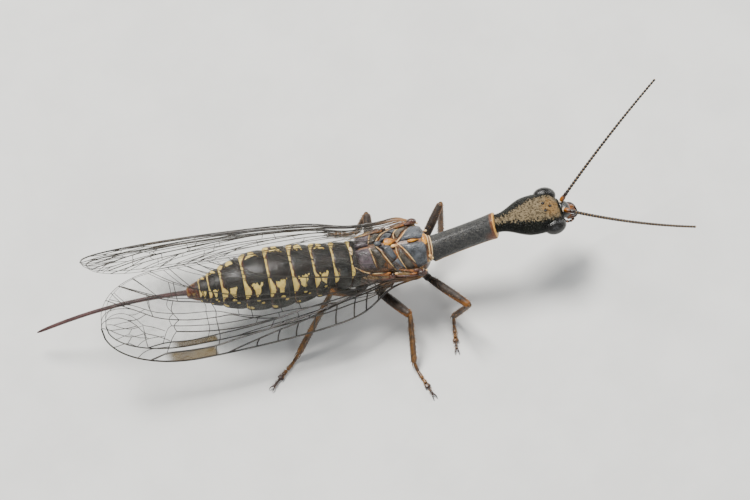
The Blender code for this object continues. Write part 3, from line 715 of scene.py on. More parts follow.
feeler_paint, tree, shader = new_material("feeler_bead", 0.42, 0.1)
spot, x, _, _ = place_of(tree)
shade_of_bead = mottled(tree, spot, colour(40, 30, 24), colour(18, 13, 11), 14.0)
pale = larger(tree, step(tree, x, 0.10, 0.03), step(tree, x, 0.90, 0.97))
coloured(tree, shader, blend(tree, pale, shade_of_bead, colour(188, 148, 92)))
wrinkled(tree, shader, spot, 9.0, 12.0, 0.4, 0.006)
# The socket's pale colour is a painted highlight on its rim.
socket_glint_paint = plain_shell("feeler_socket", colour(214, 196, 168), colour(120, 78, 46), 6.0, 0.12, 0.9, 0.4)[0]


# %% Copy one bead along the curve of each feeler
def feeler_line(side, reach, way, bow):
    """A shallow bow from the brow outwards. Its first point is drawn back into the socket."""
    root = HEAD_PLACE @ Vector((FEELER_ROOT[0], side * FEELER_ROOT[1], FEELER_ROOT[2]))
    way = way.normalized()
    outer = [root + way * reach * part + bow * 4.0 * part * (1.0 - part)
             for part in (k / 24.0 for k in range(25))]
    return [root - (outer[1] - root).normalized() * SOCKET_DEPTH] + outer[1:]


def beaded(name, bead, line):
    """Copies of one bead, a little smaller each time, laid end to end along a line."""
    pitch = (line_length(line) - STOUT_LENGTH) / FEELER_BEADS
    copies = []
    for count in range(FEELER_BEADS):
        copy = bead.copy()
        copy.data = bead.data.copy()
        bpy.context.scene.collection.objects.link(copy)
        radius = BEAD_RADIUS * (1.0 - FEELER_THINNING * count / FEELER_BEADS)
        copy.data.transform(Matrix.Translation((STOUT_LENGTH + count * pitch, 0.0, 0.0))
                            @ Matrix.Diagonal((pitch * BEAD_OVERLAP, radius, radius, 1.0)))
        copies.append(copy)
    feeler = join(name, copies)
    lay_along(feeler, line)
    return feeler


one_bead = grow("one_bead", [(0.0, 0.60, 0.60, 0.0), (0.06, 0.62, 0.62, 0.0), (0.16, 0.92, 0.92, 0.0),
                             (0.50, 1.04, 1.04, 0.0), (0.84, 0.96, 0.96, 0.0), (0.94, 0.62, 0.62, 0.0),
                             (1.0, 0.60, 0.60, 0.0)], 10, 0)
remember(one_bead)

# %% Set both feelers, each with its stout joint and its socket
STOUT_PROFILE = ((-0.03, 0.070), (0.04, 0.092), (0.16, 0.090), (0.225, 0.062), (0.245, 0.058), (0.29, 0.076),
                 (0.35, 0.066), (0.38, 0.045))
for label, (side, reach, way, bow) in FEELERS.items():
    line = feeler_line(side, reach, way, bow)
    feeler = beaded("feeler_" + label, one_bead, line)
    hand_over(feeler, "feeler_" + label, feeler_paint, ["antenna_" + label])
    base = grow("feeler_base", [(x, radius, radius, 0.0) for x, radius in STOUT_PROFILE], 14, 1)
    remember(base)
    lay_along(base, line)
    hand_over(base, "feeler_base_" + label, amber_paint)
    socket = lump("socket", (0.0, 0.0, 0.0), (0.100, 0.090, 0.050), 0.2)
    remember(socket)
    socket.data.transform(facing(line[0] - (line[1] - line[0]) * 0.10, line[1])
                          @ Matrix.Rotation(math.pi / 2, 4, "Y"))
    hand_over(socket, "feeler_socket_" + label, socket_glint_paint)
    print("feeler", label, "is", round(line_length(line), 2), "mm long")
bpy.data.objects.remove(one_bead, do_unlink=True)

# %% [markdown]
# ## The long neck shield
#
# What looks like a neck is the first ring of the chest, drawn out into a tube. A dark,
# finely wrinkled shield wraps its top and sides, with a pale orange rim in front and a
# thin orange line along its lower edge. The rim's pale line is partly a painted highlight,
# and a net of pale threads over the wrinkles is painted highlight. Soft joint skin shows at
# both ends.

# %% Grow the neck shield between the solid's own ends
SHIELD_REAR, SHIELD_FRONT = Vector((0.50, -0.02, 2.15)), Vector((2.86, 0.17, 2.79))
SHIELD_LENGTH, SHIELD_RADIUS = (SHIELD_FRONT - SHIELD_REAR).length, 0.43
SHIELD_PROFILE = ((0.0, 0.40), (0.012, 0.452), (0.05, 0.462), (0.12, 0.440), (0.30, 0.425), (0.55, 0.420),
                  (0.80, 0.425), (0.90, 0.435), (0.94, 0.448), (0.975, 0.452), (0.992, 0.440), (1.0, 0.40))
shield = grow("neck_shield", [(share * SHIELD_LENGTH, radius, radius * 0.97, 0.0)
                              for share, radius in SHIELD_PROFILE], 36, 2)

# %% Raise its lower edge, slant its front rim to the left, and store length and turn
EDGE_TURN, EDGE_HEIGHT, EDGE_WIDTH, PLAIN_END = 2.02, 0.03, 0.07, 0.05
RIM_SLANT, SLANT_START = 0.13, 0.80
points = coordinates(shield)
angle = np.abs(np.arctan2(points[:, 1], points[:, 2]))
edge_line = EDGE_HEIGHT * np.exp(-((angle - EDGE_TURN) / EDGE_WIDTH) ** 2) - EDGE_HEIGHT * (angle > 2.09)
middle = (points[:, 0] > PLAIN_END) & (points[:, 0] < SHIELD_LENGTH - PLAIN_END)
points[:, 1:] *= (1.0 + edge_line * middle / SHIELD_RADIUS)[:, None]
straight = points[:, 0].copy()
toward_rim = np.clip(straight / SHIELD_LENGTH - SLANT_START, 0.0, 0.2) / 0.2
points[:, 0] += RIM_SLANT * toward_rim * (0.5 + 0.5 * points[:, 1] / SHIELD_RADIUS)
reshape(shield, points)
remember(shield, np.stack([straight, angle, np.zeros(len(points))], axis=1))
shield.data.transform(facing(SHIELD_REAR, SHIELD_FRONT))
print("neck shield:", round(SHIELD_LENGTH, 2), "mm long")

# %% Paint the neck shield
shield_paint, tree, shader = new_material("neck_shield", 0.5, 0.08)
_, x, turn, _ = place_of(tree)
solid_spot = node(tree, "ShaderNodeTexCoord").outputs["Object"]
slate = mottled(tree, solid_spot, colour(42, 43, 42), colour(21, 21, 22), 5200.0, 0.5)
# Painted highlight: a net of thin pale threads over the slate, standing in for light on the fine wrinkles.
highlight_noise = node(tree, "ShaderNodeTexNoise", {"Vector": solid_spot, "Scale": 9000.0, "Detail": 3.0,
                                            "Distortion": 0.8})
highlight_threads = step(tree, size_of(tree, minus(tree, highlight_noise.outputs[0], 0.5)), 0.045, 0.0)
slate = blend(tree, times(tree, highlight_threads, 0.30), slate, colour(112, 108, 98))
# The pale front rim is partly the rim's own colour and partly a painted highlight along the front edge.
rim = times(tree, step(tree, x, SHIELD_LENGTH - 0.060, SHIELD_LENGTH - 0.030), 0.95)
corner = times(tree, step(tree, x, SHIELD_LENGTH - 0.50, SHIELD_LENGTH - 0.12), step(tree, turn, 0.70, 1.35))
low_line = times(tree, step(tree, turn, 1.93, 2.0), step(tree, turn, 2.12, 2.06))
under = step(tree, turn, 2.05, 2.12)
amber_zone = step(tree, x, SHIELD_LENGTH - 0.17, SHIELD_LENGTH - 0.09)
tone = blend(tree, times(tree, corner, 0.85), slate, colour(104, 50, 8))
tone = blend(tree, times(tree, amber_zone, 0.75), tone, colour(110, 58, 3))
tone = blend(tree, under, tone, mottled(tree, solid_spot, colour(96, 56, 38), colour(54, 34, 26), 3200.0))
tone = blend(tree, larger(tree, rim, times(tree, low_line, 0.8)), tone, colour(226, 166, 74))
coloured(tree, shader, tone)
wrinkled(tree, shader, stretched(tree, solid_spot, (900.0, 1500.0, 1500.0)), 9.0, 12.0, 0.5, 0.04)
hand_over(shield, "neck_shield", shield_paint, ["prothorax"])

# %% [markdown]
# ### Joint skin
#
# Between hard rings the skin is soft, pale and folded. Short tubes of it close the gap in
# front of the head's neck and the gap to the wing-bearing chest, so that no daylight shows.

# %% Model the skin at the nape
soft_paint, tree, shader, spot = plain_shell("joint_skin", colour(232, 200, 142), colour(196, 128, 62),
                                             5.0, 0.45, 0.0, 0.45)
shader.inputs["Subsurface Weight"].default_value = 0.15
shader.inputs["Subsurface Radius"].default_value = (0.0002, 0.0001, 0.00006)
wrinkled(tree, shader, spot, 10.0, 8.0, 0.2, 0.02)

brown_paint, tree, shader, spot = plain_shell("joint_brown", colour(120, 72, 44), colour(52, 34, 26),
                                              6.0, 0.45, 0.1)
wrinkled(tree, shader, spot, 12.0, 12.0, 0.4, 0.015)

nape = grow("nape", [(0.0, 0.30, 0.27, 0.0), (0.12, 0.31, 0.28, 0.0), (0.20, 0.27, 0.25, 0.0),
                     (0.30, 0.26, 0.24, 0.0), (0.42, 0.24, 0.22, 0.0)], 24, 1)
remember(nape)
nape.data.transform(facing(between(SHIELD_REAR, SHIELD_FRONT, 0.93), HEAD_PLACE @ Vector((0.3, 0.0, 0.0))))
hand_over(nape, "nape_skin", brown_paint)

# %% Model the collar, with two pale ridges round it
COLLAR_RIDGES = ((0.055, 0.030, 0.014), (0.165, 0.036, 0.018))
collar = grow("collar", [(0.0, 0.36, 0.36, 0.0), (0.05, 0.465, 0.475, 0.0), (0.09, 0.45, 0.46, 0.01),
                         (0.125, 0.44, 0.45, 0.015), (0.16, 0.51, 0.53, 0.02), (0.21, 0.50, 0.52, 0.03),
                         (0.26, 0.52, 0.54, 0.04)], 32, 2)
remember(collar)
collar_paint, tree, shader = new_material("collar_skin", 0.4, 0.2)
spot, x, _, _ = place_of(tree)
ridge = larger(tree, *(step(tree, size_of(tree, minus(tree, x, crest)), outer, inner)
                       for crest, outer, inner in COLLAR_RIDGES))
fold = mottled(tree, spot, colour(150, 92, 44), colour(70, 42, 24), 5.0, 0.5)
crest = mottled(tree, spot, colour(236, 206, 150), colour(206, 150, 88), 4.0, 0.4)
coloured(tree, shader, blend(tree, ridge, fold, crest))
wrinkled(tree, shader, spot, 9.0, 8.0, 0.2, 0.02)
collar.data.transform(facing(Vector((0.60, 0.0, 2.19)), Vector((0.30, 0.0, 2.21))))
hand_over(collar, "collar_skin", collar_paint)
print("soft rings: nape and collar")

# %% [markdown]
# ## The chest that bears the wings
#
# Two rings of the chest carry the wings. Seen from above they are a patchwork: slate-grey
# plates, cream seams in the shape of two arrowheads that point backwards, and an orange
# shield in the middle. A painted texture would look flat, so the core is grown first, in
# the colours of the seams and flanks, and then each plate is its own thin shell on it.

# %% Grow the core of the chest
CHEST_Z, CHEST_LEAN = 2.10, math.radians(22)
CHEST_STATIONS = [(0.52, 0.40, 0.42, 0.10), (0.44, 0.56, 0.58, 0.10), (0.30, 0.74, 0.74, 0.07),
                  (0.08, 0.87, 0.87, 0.02), (-0.25, 0.90, 0.90, 0.0), (-0.60, 0.89, 0.89, 0.0),
                  (-0.84, 0.85, 0.86, 0.0), (-0.98, 0.82, 0.84, 0.0), (-1.14, 0.86, 0.85, 0.0),
                  (-1.45, 0.88, 0.83, -0.01), (-1.68, 0.84, 0.79, -0.03), (-1.80, 0.80, 0.76, -0.05),
                  (-2.02, 0.81, 0.76, -0.07), (-2.30, 0.80, 0.74, -0.08)]
chest = grow("chest_core", CHEST_STATIONS, 32, 2)
points = coordinates(chest)
points[:, 2] += CHEST_Z
lean = math.tan(CHEST_LEAN) * np.interp(points[:, 0], (-2.3, -1.6, 0.0, 0.5), (0.6, 1.0, 1.0, -0.2))
points[:, 0] += (points[:, 2] - CHEST_Z) * lean
reshape(chest, points)
remember(chest)
print("chest core from x", round(points[:, 0].min(), 2), "to", round(points[:, 0].max(), 2))

# %% Find a place on the chest's back
BACK_HALF_WIDTH, BACK_RISE = 0.90, 0.905
WAIST_FALL, FRONT_FALL, REAR_FALL = 0.05, 0.10, 0.11
MIDDLE_SHIFT, SHIFT_REACH = 0.17, 0.84


def back_height(x, y):
    """Height of the chest's back at a place on its plan."""
    reach = max(1.0 - (y / BACK_HALF_WIDTH) ** 2, 0.0) ** 0.5
    fall = (WAIST_FALL * ramp(-x, 1.0, 2.2) + FRONT_FALL * ramp(x, 0.15, 0.5)
            + REAR_FALL * ramp(-x, 0.9, 2.0))
    return CHEST_Z + (BACK_RISE - fall) * reach


def on_back(x, y, side=1):
    """A plan place on the back, its middle moved a little to the left as in the photo."""
    near_middle = 1.0 - min(abs(y) / SHIFT_REACH, 1.0) ** 2
    return Vector((x, side * y + MIDDLE_SHIFT * ramp(-x, 0.1, 1.4) * near_middle, 0.0))


# %% Paint the core: seams above, reddish flanks, dark underside
core_paint, tree, shader = new_material("chest_core", 0.42, 0.15)
spot, _, _, z = place_of(tree)
top = mottled(tree, spot, colour(128, 82, 40), colour(58, 36, 22), 4.0, 0.5)
flank = mottled(tree, spot, colour(96, 62, 36), colour(40, 29, 22), 3.0, 0.55)
belly = mottled(tree, spot, colour(56, 42, 34), colour(30, 23, 20), 3.0)
tone = blend(tree, step(tree, z, 2.62, 2.46), top, flank)
coloured(tree, shader, blend(tree, step(tree, z, 1.9, 1.6), tone, belly))
wrinkled(tree, shader, spot, 7.0, 11.0, 0.4, 0.02)
hand_over(chest, "chest_core", core_paint, ["mesothorax", "metathorax"])

# %% [markdown]
# ### Plates of the back
#
# Each plate is a four-cornered patch. A grid is bent over the back between its corners and
# swells in its middle, while its rim dips into the core, so that the seams between plates
# stay open and show the pale skin below. The left plates mirror the right ones, but the
# middle line of both lies a little to the left, as in the photo.


# %% Paint for plates
def plate_paint(name, light, dark, sheen=0.3):
    """Mottled shell whose wrinkle crests carry a painted highlight, a paler copy of the light colour, as strong as
    sheen says.
    """
    material, tree, shader = new_material(name, 0.36, 0.2)
    spot = spot_of(tree)
    grain = wrinkled(tree, shader, spot, 11.0, 13.0, 0.5, 0.032)
    crest_highlight = times(tree, step(tree, grain["Height"], 0.55, 0.8), sheen)
    paler = tuple(min(1.0, v * 1.8) for v in light[:3]) + (1.0,)
    coloured(tree, shader, blend(tree, crest_highlight, mottled(tree, spot, light, dark, 3.4, 0.48), paler))
    return material


slate_plate = plate_paint("slate_plate", colour(84, 88, 93), colour(40, 42, 45))
dusk_plate = plate_paint("dusk_plate", colour(96, 82, 87), colour(46, 37, 41))
olive_plate = plate_paint("olive_plate", colour(76, 68, 54), colour(34, 28, 22))
orange_plate = plate_paint("orange_plate", colour(212, 144, 18), colour(138, 76, 8), 0.1)
brown_plate = plate_paint("brown_plate", colour(92, 52, 34), colour(42, 26, 19), 0.1)
fold_plate = plate_paint("fold_plate", colour(162, 100, 38), colour(84, 46, 18), 0.25)
root_skin = plate_paint("root_skin", colour(126, 98, 52), colour(62, 46, 28), 0.35)

# %% Sizes of the plates, as corners on the plan of the right half
PLATES = (
    ("scutum_lobe", slate_plate, ((0.40, 0.05), (0.30, 0.70), (-0.02, 0.84), (-0.56, 0.06)), 0.115),
    ("scutum_side", olive_plate, ((-0.60, 0.18), (-0.12, 0.78), (-0.34, 0.86), (-0.68, 0.50)), 0.05),
    ("rear_lobe", slate_plate, ((-0.92, 0.07), (-0.72, 0.46), (-0.98, 0.60), (-1.26, 0.08)), 0.075),
    ("rear_side", slate_plate, ((-0.70, 0.50), (-0.46, 0.78), (-0.74, 0.84), (-0.96, 0.64)), 0.05),
    ("waist_lobe", olive_plate, ((-1.38, 0.10), (-1.12, 0.56), (-1.36, 0.70), (-1.60, 0.12)), 0.045),
    ("waist_plate", dusk_plate, ((-1.64, 0.05), (-1.50, 0.66), (-2.02, 0.66), (-2.10, 0.05)), 0.06),
)


# %% Bend the plates over the back
PLATE_GRID, PLATE_FULLNESS, RIM_DIP, PLATE_DEPTH = 22, 3.2, 0.05, 0.12


def swelling(share):
    """1 in the middle of a side, 0 at its two ends."""
    return 1.0 - abs(2.0 * share - 1.0) ** PLATE_FULLNESS


def back_plate(name, corners, swell, material, side):
    deselect_all()
    bpy.ops.mesh.primitive_grid_add(x_subdivisions=PLATE_GRID, y_subdivisions=PLATE_GRID, size=2.0)
    piece = bpy.context.object
    a, b, c, d = (on_back(x, y, side) for x, y in corners)
    placed = []
    for u, v, _ in coordinates(piece):
        u, v = (u + 1.0) / 2.0, (v + 1.0) / 2.0
        spot = between(between(a, b, u), between(d, c, u), v)
        lift = (swell + RIM_DIP) * (swelling(u) * swelling(v)) ** 0.5
        placed.append((spot.x, spot.y, back_height(spot.x, spot.y) - RIM_DIP + lift))
    reshape(piece, placed)
    bpy.ops.object.mode_set(mode="EDIT")
    bpy.ops.mesh.select_all(action="SELECT")
    bpy.ops.mesh.extrude_region_move(TRANSFORM_OT_translate={"value": (0.0, 0.0, -PLATE_DEPTH)})
    bpy.ops.mesh.select_all(action="SELECT")
    bpy.ops.mesh.normals_make_consistent(inside=False)
    bpy.ops.object.mode_set(mode="OBJECT")
    remember(piece)
    hand_over(piece, name, material, smooth=50.0)


for label, material, corners, swell in PLATES:
    for side, half in ((-1, "right"), (1, "left")):
        back_plate(label + "_" + half, corners, swell, material, side)
print("plates on the back:", 2 * len(PLATES))

# %% [markdown]
# ### Seams, shield and marks
#
# The arrowhead seams stand up as cream ridges: thin tubes laid on the back. The orange
# shield sits behind the first arrow's tip, two orange marks lie between the front lobes,
# and slate and cream ones follow down the middle. They are low lumps, pressed flat and
# half sunk. Four small cream folds of skin fill the corners beside the collar.

# %% Lay the cream seams
SEAM_HEIGHT, SEAM_SWELLS = 0.012, (0.5, 0.9, 1.0, 1.1, 1.0, 0.7, 0.3)
SEAMS = (
    ("front_arrow", ((-0.66, 0.0), (-0.42, 0.26), (-0.17, 0.60), (0.06, 0.82)), 0.025),
    ("rear_arrow", ((-1.44, 0.0), (-1.26, 0.24), (-1.04, 0.58), (-0.80, 0.80)), 0.023),
    ("side_seam", ((-0.70, 0.14), (-0.71, 0.38), (-0.58, 0.64), (-0.42, 0.82)), 0.018),
    ("waist_seam", ((-2.24, 0.56), (-1.98, 0.70), (-1.60, 0.79), (-1.22, 0.80)), 0.020),
    ("waist_cross", ((-1.62, 0.06), (-1.55, 0.36), (-1.48, 0.68)), 0.016),
)
for label, plan, radius in SEAMS:
    halves = []
    for side in (-1, 1):
        places = [on_back(x, y, side) for x, y in plan]
        line = [(place.x, place.y, back_height(place.x, place.y) + SEAM_HEIGHT) for place in places]
        halves.append(bent_tube(label, line, [radius * swell for swell in SEAM_SWELLS], 10))
    hand_over(join(label, halves), label, soft_paint)
print("seams:", ", ".join(seam[0] for seam in SEAMS))

# %% Set the orange shield, pointed in front, and the marks
MARK_HEIGHT = 0.02
MARKS = (
    ("orange_shield", -0.86, 0.04, (0.24, 0.12, 0.045), 0.85, orange_plate),
    ("shield_side", -0.74, -0.13, (0.13, 0.055, 0.035), 0.5, soft_paint),
    ("rear_shield", -1.30, 0.0, (0.13, 0.10, 0.06), 0.3, slate_plate),
    ("front_mark", 0.33, 0.03, (0.10, 0.21, 0.055), 0.0, orange_plate),
    ("middle_mark", -0.06, 0.03, (0.21, 0.05, 0.04), 0.7, orange_plate),
    ("waist_mark", -2.26, -0.06, (0.06, 0.17, 0.03), 0.0, soft_paint),
)
for label, x, y, radii, taper, material in MARKS:
    place = on_back(x, y)
    mark = lump(label, (place.x, place.y, back_height(place.x, place.y) + MARK_HEIGHT), radii, 0.4, 28, 16)
    points = coordinates(mark)
    forward = np.clip((points[:, 0] - place.x) / radii[0], -1.0, 1.0)
    points[:, 1] = place.y + (points[:, 1] - place.y) * (1.0 - taper * forward)
    reshape(mark, points)
    remember(mark)
    hand_over(mark, label, material)

# %% Add the small folds beside the collar
COLLAR_FOLDS = ((0.44, -0.50, 2.66, 0.065), (0.50, -0.54, 2.52, 0.06), (0.46, 0.48, 2.66, 0.055),
                (0.38, -0.60, 2.48, 0.06))
for count, (x, y, z, size) in enumerate(COLLAR_FOLDS):
    fold = lump("collar_fold", (x, y, z), (size, size * 0.8, size * 0.7))
    remember(fold)
    hand_over(fold, "collar_fold_%d" % count, soft_paint)
print("marks:", len(MARKS), "and folds:", len(COLLAR_FOLDS))

# %% [markdown]
# ## The abdomen
#
# Ten dark rings, each a little proud of the soft fold behind it. They are grown as one
# skin, six extrusions to a ring. The stored place isn't x, y, z this time but ring number
# and angle from the top, so that one recipe marks every ring alike. On the left the angle
# runs a little ahead, because there the photo shows the same marks lower down.

# %% Ring sizes
ABDOMEN_Z, ABDOMEN_START, ABDOMEN_FULLEST = 2.02, -2.06, -5.2
ABDOMEN_HALF_WIDTH, ABDOMEN_FLATNESS = 1.12, 0.87
WAIST_SHARE, TIP_NARROWING = 0.74, 0.84
RING_ENDS = (-2.42, -2.98, -3.66, -4.44, -5.28, -6.14, -6.92, -7.36, -7.68, LAST_RING_X)
RING_PROFILE = ((0.02, 0.94), (0.12, 0.985), (0.45, 1.015), (0.80, 1.025), (0.93, 1.012), (0.985, 0.945))


def abdomen_half_width(x):
    if x > ABDOMEN_FULLEST:
        share = min(max((ABDOMEN_START - x) / (ABDOMEN_START - ABDOMEN_FULLEST), 0.0), 1.0)
        opening = math.sin(share * math.pi / 2.0) ** 1.8
        return ABDOMEN_HALF_WIDTH * (WAIST_SHARE + (1.0 - WAIST_SHARE) * opening)
    share = min((x - ABDOMEN_FULLEST) / (RING_ENDS[-1] - ABDOMEN_FULLEST), 1.0)
    return ABDOMEN_HALF_WIDTH * (1.0 - TIP_NARROWING * share ** 1.65)


# %% Grow the abdomen ring by ring
stations = []
for front, rear in zip((ABDOMEN_START,) + RING_ENDS, RING_ENDS):
    for share, swell in RING_PROFILE:
        x = between(front, rear, share)
        width = abdomen_half_width(x) * swell
        stations.append((x, width, width * ABDOMEN_FLATNESS, ABDOMEN_Z))
stations.append((LAST_RING_X - 0.03, 0.12, 0.11, ABDOMEN_Z))
abdomen = grow("abdomen_skin", stations, 40, 2)
print("abdomen:", len(abdomen.data.polygons), "faces")

# %% Press in its side pleat, store ring and turn, and lean its front like the chest
SIDE_PLEAT, SIDE_SWELL = (0.055, 1.92, 0.13), (0.02, 1.66, 0.14)
LEFT_AHEAD, LEAN_LENGTH, LEAN_SHARE = 0.14, 1.2, 0.6


def fold_round(angle, depth, turn, width):
    """A soft fold along the body, at one turn from the top."""
    return depth * np.exp(-((angle - turn) / width) ** 2)


points = coordinates(abdomen)
angle = np.abs(np.arctan2(points[:, 1], (points[:, 2] - ABDOMEN_Z) / ABDOMEN_FLATNESS))
pleat = fold_round(angle, *SIDE_PLEAT) - fold_round(angle, *SIDE_SWELL)
points[:, 1] *= 1.0 - pleat
points[:, 2] = ABDOMEN_Z + (points[:, 2] - ABDOMEN_Z) * (1.0 - pleat)
edges = np.array((ABDOMEN_START,) + RING_ENDS)
ring_number = np.interp(-points[:, 0], -edges, np.arange(len(edges)))
turned = angle - LEFT_AHEAD * np.sin(angle) * (points[:, 1] > 0.0)
remember(abdomen, np.stack([ring_number, turned / math.pi, np.zeros(len(points))], axis=1))
lean = np.clip(1.0 - (ABDOMEN_START - points[:, 0]) / LEAN_LENGTH, 0.0, 1.0) * LEAN_SHARE
points[:, 0] += (points[:, 2] - ABDOMEN_Z) * math.tan(CHEST_LEAN) * lean
reshape(abdomen, points)
print("abdomen's widest:", round(2 * points[:, 1].max(), 2), "mm")

# %% [markdown]
# ### Bands and spots
#
# A cream band edges the back of each ring, thin on top and wider down the sides, where it
# tapers off again. In front of it, on the slope, sits a cream spot, and small dots lie
# lower down. The last ring turns reddish. All edges are a little ragged, and the bands
# have a reddish fringe.

# %% Where the bands run
BAND_WIDTH, BAND_WIDENS, BAND_NARROWS, FRINGE_WIDTH = 0.070, 0.19, 0.27, 0.05
belly_paint, tree, shader = new_material("abdomen_rings", 0.34, 0.1)
shader.inputs["Specular IOR Level"].default_value = 0.32
_, ring, turn, _ = place_of(tree)
solid_spot = node(tree, "ShaderNodeTexCoord").outputs["Object"]
streaks = stretched(tree, solid_spot, (2.2, 1.0, 1.0))
part = calc(tree, "FRACT", ring)
band_width = plus(tree, BAND_WIDTH, times(tree, step(tree, turn, 0.11, 0.23), BAND_WIDENS))
band_width = minus(tree, band_width, times(tree, step(tree, turn, 0.235, 0.37), BAND_NARROWS))
band_reach = minus(tree, plus(tree, part, band_width), 1.0)
fringe = ragged(tree, solid_spot, plus(tree, band_reach, FRINGE_WIDTH), 0.0, 0.05, 0.10, 3800.0)
band = ragged(tree, streaks, band_reach, 0.0, 0.018, 0.22, 5200.0)

# %% Where the spots and dots lie, in shares of a ring's length and of half a turn
SPOT_PART, SPOT_TURN = 0.50, 0.225
SPOT_HALF_LENGTH, SPOT_HALF_HEIGHT, SPOT_TAPER = 0.150, 0.072, 0.085
DOTS, DOT_LENGTH, DOT_HEIGHT = ((0.50, 0.345, 1.0), (0.34, 0.390, 0.8), (0.86, 0.475, 1.25)), 0.085, 0.019
across = calc(tree, "DIVIDE", minus(tree, turn, SPOT_TURN), SPOT_HALF_HEIGHT)
half_spot = minus(tree, SPOT_HALF_LENGTH, times(tree, across, SPOT_TAPER))
along = calc(tree, "DIVIDE", minus(tree, part, SPOT_PART), half_spot)
reach = larger(tree, size_of(tree, along), size_of(tree, across))
spots = ragged(tree, streaks, minus(tree, 1.0, reach), 0.10, 0.08, 1.7, 5200.0)
spots = times(tree, spots, step(tree, ring, 1.6, 2.2))
dots = 0.0
for dot_part, dot_turn, size in DOTS:
    away = node(tree, "ShaderNodeCombineXYZ",
                {0: calc(tree, "DIVIDE", minus(tree, part, dot_part), DOT_LENGTH * size),
                 1: calc(tree, "DIVIDE", minus(tree, turn, dot_turn), DOT_HEIGHT * size)})
    distance = node(tree, "ShaderNodeVectorMath", {0: away.outputs[0]}, operation="LENGTH").outputs[1]
    dots = larger(tree, dots, ragged(tree, solid_spot, minus(tree, 1.0, distance), 0.0, 0.20, 1.8, 3400.0))
dots = times(tree, dots, step(tree, ring, 2.0, 2.6))
print("masks: bands, spots and", len(DOTS), "dots to a ring")

# %% Paint the abdomen
marks = larger(tree, larger(tree, band, spots), times(tree, dots, 0.85))
dark = mottled(tree, solid_spot, colour(34, 25, 22), colour(11, 8, 7), 2200.0, 0.5)
cream = mottled(tree, solid_spot, colour(240, 212, 116), colour(208, 162, 76), 5200.0, 0.42)
red_tip = mottled(tree, solid_spot, colour(112, 52, 26), colour(56, 26, 18), 4200.0)
tone = blend(tree, times(tree, fringe, 0.55), dark, colour(98, 44, 34))
tone = blend(tree, marks, tone, cream)
coloured(tree, shader, blend(tree, times(tree, step(tree, ring, 8.9, 9.2), 0.85), tone, red_tip))
tree.links.new(plus(tree, 0.30, times(tree, marks, 0.2)), shader.inputs["Roughness"])
wrinkled(tree, shader, stretched(tree, solid_spot, (1600.0, 1000.0, 1000.0)), 6.0, 9.0, 0.3, 0.022)
hand_over(abdomen, "abdomen_skin", belly_paint,
          ["abdomen_front", "abdomen_middle", "abdomen_rear"])

# %% [markdown]
# ## The egg-laying tube
#
# Behind the last ring the female carries a long, thin tube with which she lays her eggs
# under bark. It is two halves side by side, so it has a groove along its top and its
# sides, and fine cross wrinkles. It runs out level, then sinks gently, and ends in a blunt tip.

# %% Grow, groove and bend the tube
TUBE_ROOT, TUBE_TIP, TUBE_BOW = Vector((-7.96, 0.0, ABDOMEN_Z)), Vector((-13.45, 0.0, 0.92)), 0.52
TOP_GROOVE, SIDE_GROOVES = (0.14, 0.0, 0.22), (0.10, 1.75, 0.2)
TUBE_PROFILE = ((0.0, 0.12), (0.02, 0.13), (0.06, 0.11), (0.12, 0.098), (0.30, 0.090), (0.50, 0.084),
                (0.68, 0.082), (0.82, 0.080), (0.91, 0.074), (0.955, 0.062), (0.985, 0.045), (1.0, 0.022))
tube_line = [between(TUBE_ROOT, TUBE_TIP, share) + Vector((0.0, 0.0, TUBE_BOW * 4.0 * share * (1.0 - share)))
             for share in (k / 24.0 for k in range(25))]
tube_length = line_length(tube_line)
laying_tube = grow("laying_tube", [(share * tube_length, radius * 0.86, radius * 0.9, 0.0)
                                   for share, radius in TUBE_PROFILE], 24, 2)
points = coordinates(laying_tube)
turn = np.abs(np.arctan2(points[:, 1], points[:, 2]))
groove = fold_round(turn, *TOP_GROOVE) + fold_round(turn, *SIDE_GROOVES)
points[:, 1:] *= (1.0 - groove)[:, None]
reshape(laying_tube, points)
remember(laying_tube)
lay_along(laying_tube, tube_line)

# %% Paint the tube
TUBE_DARK_END = 0.9
tube_paint, tree, shader = new_material("laying_tube", 0.36, 0.15)
spot, x, y, _ = place_of(tree)
tone = mottled(tree, stretched(tree, spot, (0.5, 4.0, 4.0)), colour(88, 54, 52), colour(46, 27, 27), 3.0)
groove_line = times(tree, step(tree, size_of(tree, y), 0.012, 0.0), 0.7)
tone = blend(tree, groove_line, tone, colour(30, 16, 16))
tone = blend(tree, step(tree, x, tube_length - TUBE_DARK_END, tube_length), tone, colour(58, 30, 28))
coloured(tree, shader, tone)
wrinkled(tree, shader, stretched(tree, spot, (7.0, 1.0, 1.0)), 3.0, 7.0, 0.3, 0.012)
hand_over(laying_tube, "laying_tube", tube_paint, ["ovipositor"])
print("egg-laying tube:", round(tube_length, 2), "mm")

# %% [markdown]
# ## Legs
#
# Each leg is a hip, a small knob, a thigh, a shin with two spurs, and a foot of five
# joints, the third one broad and two-lobed, ending in two claws. Every joint is grown
# straight and laid between its ends. The ends are those of the solids, except that the
# right hind knee is lifted to where the photo shows it through the wing.

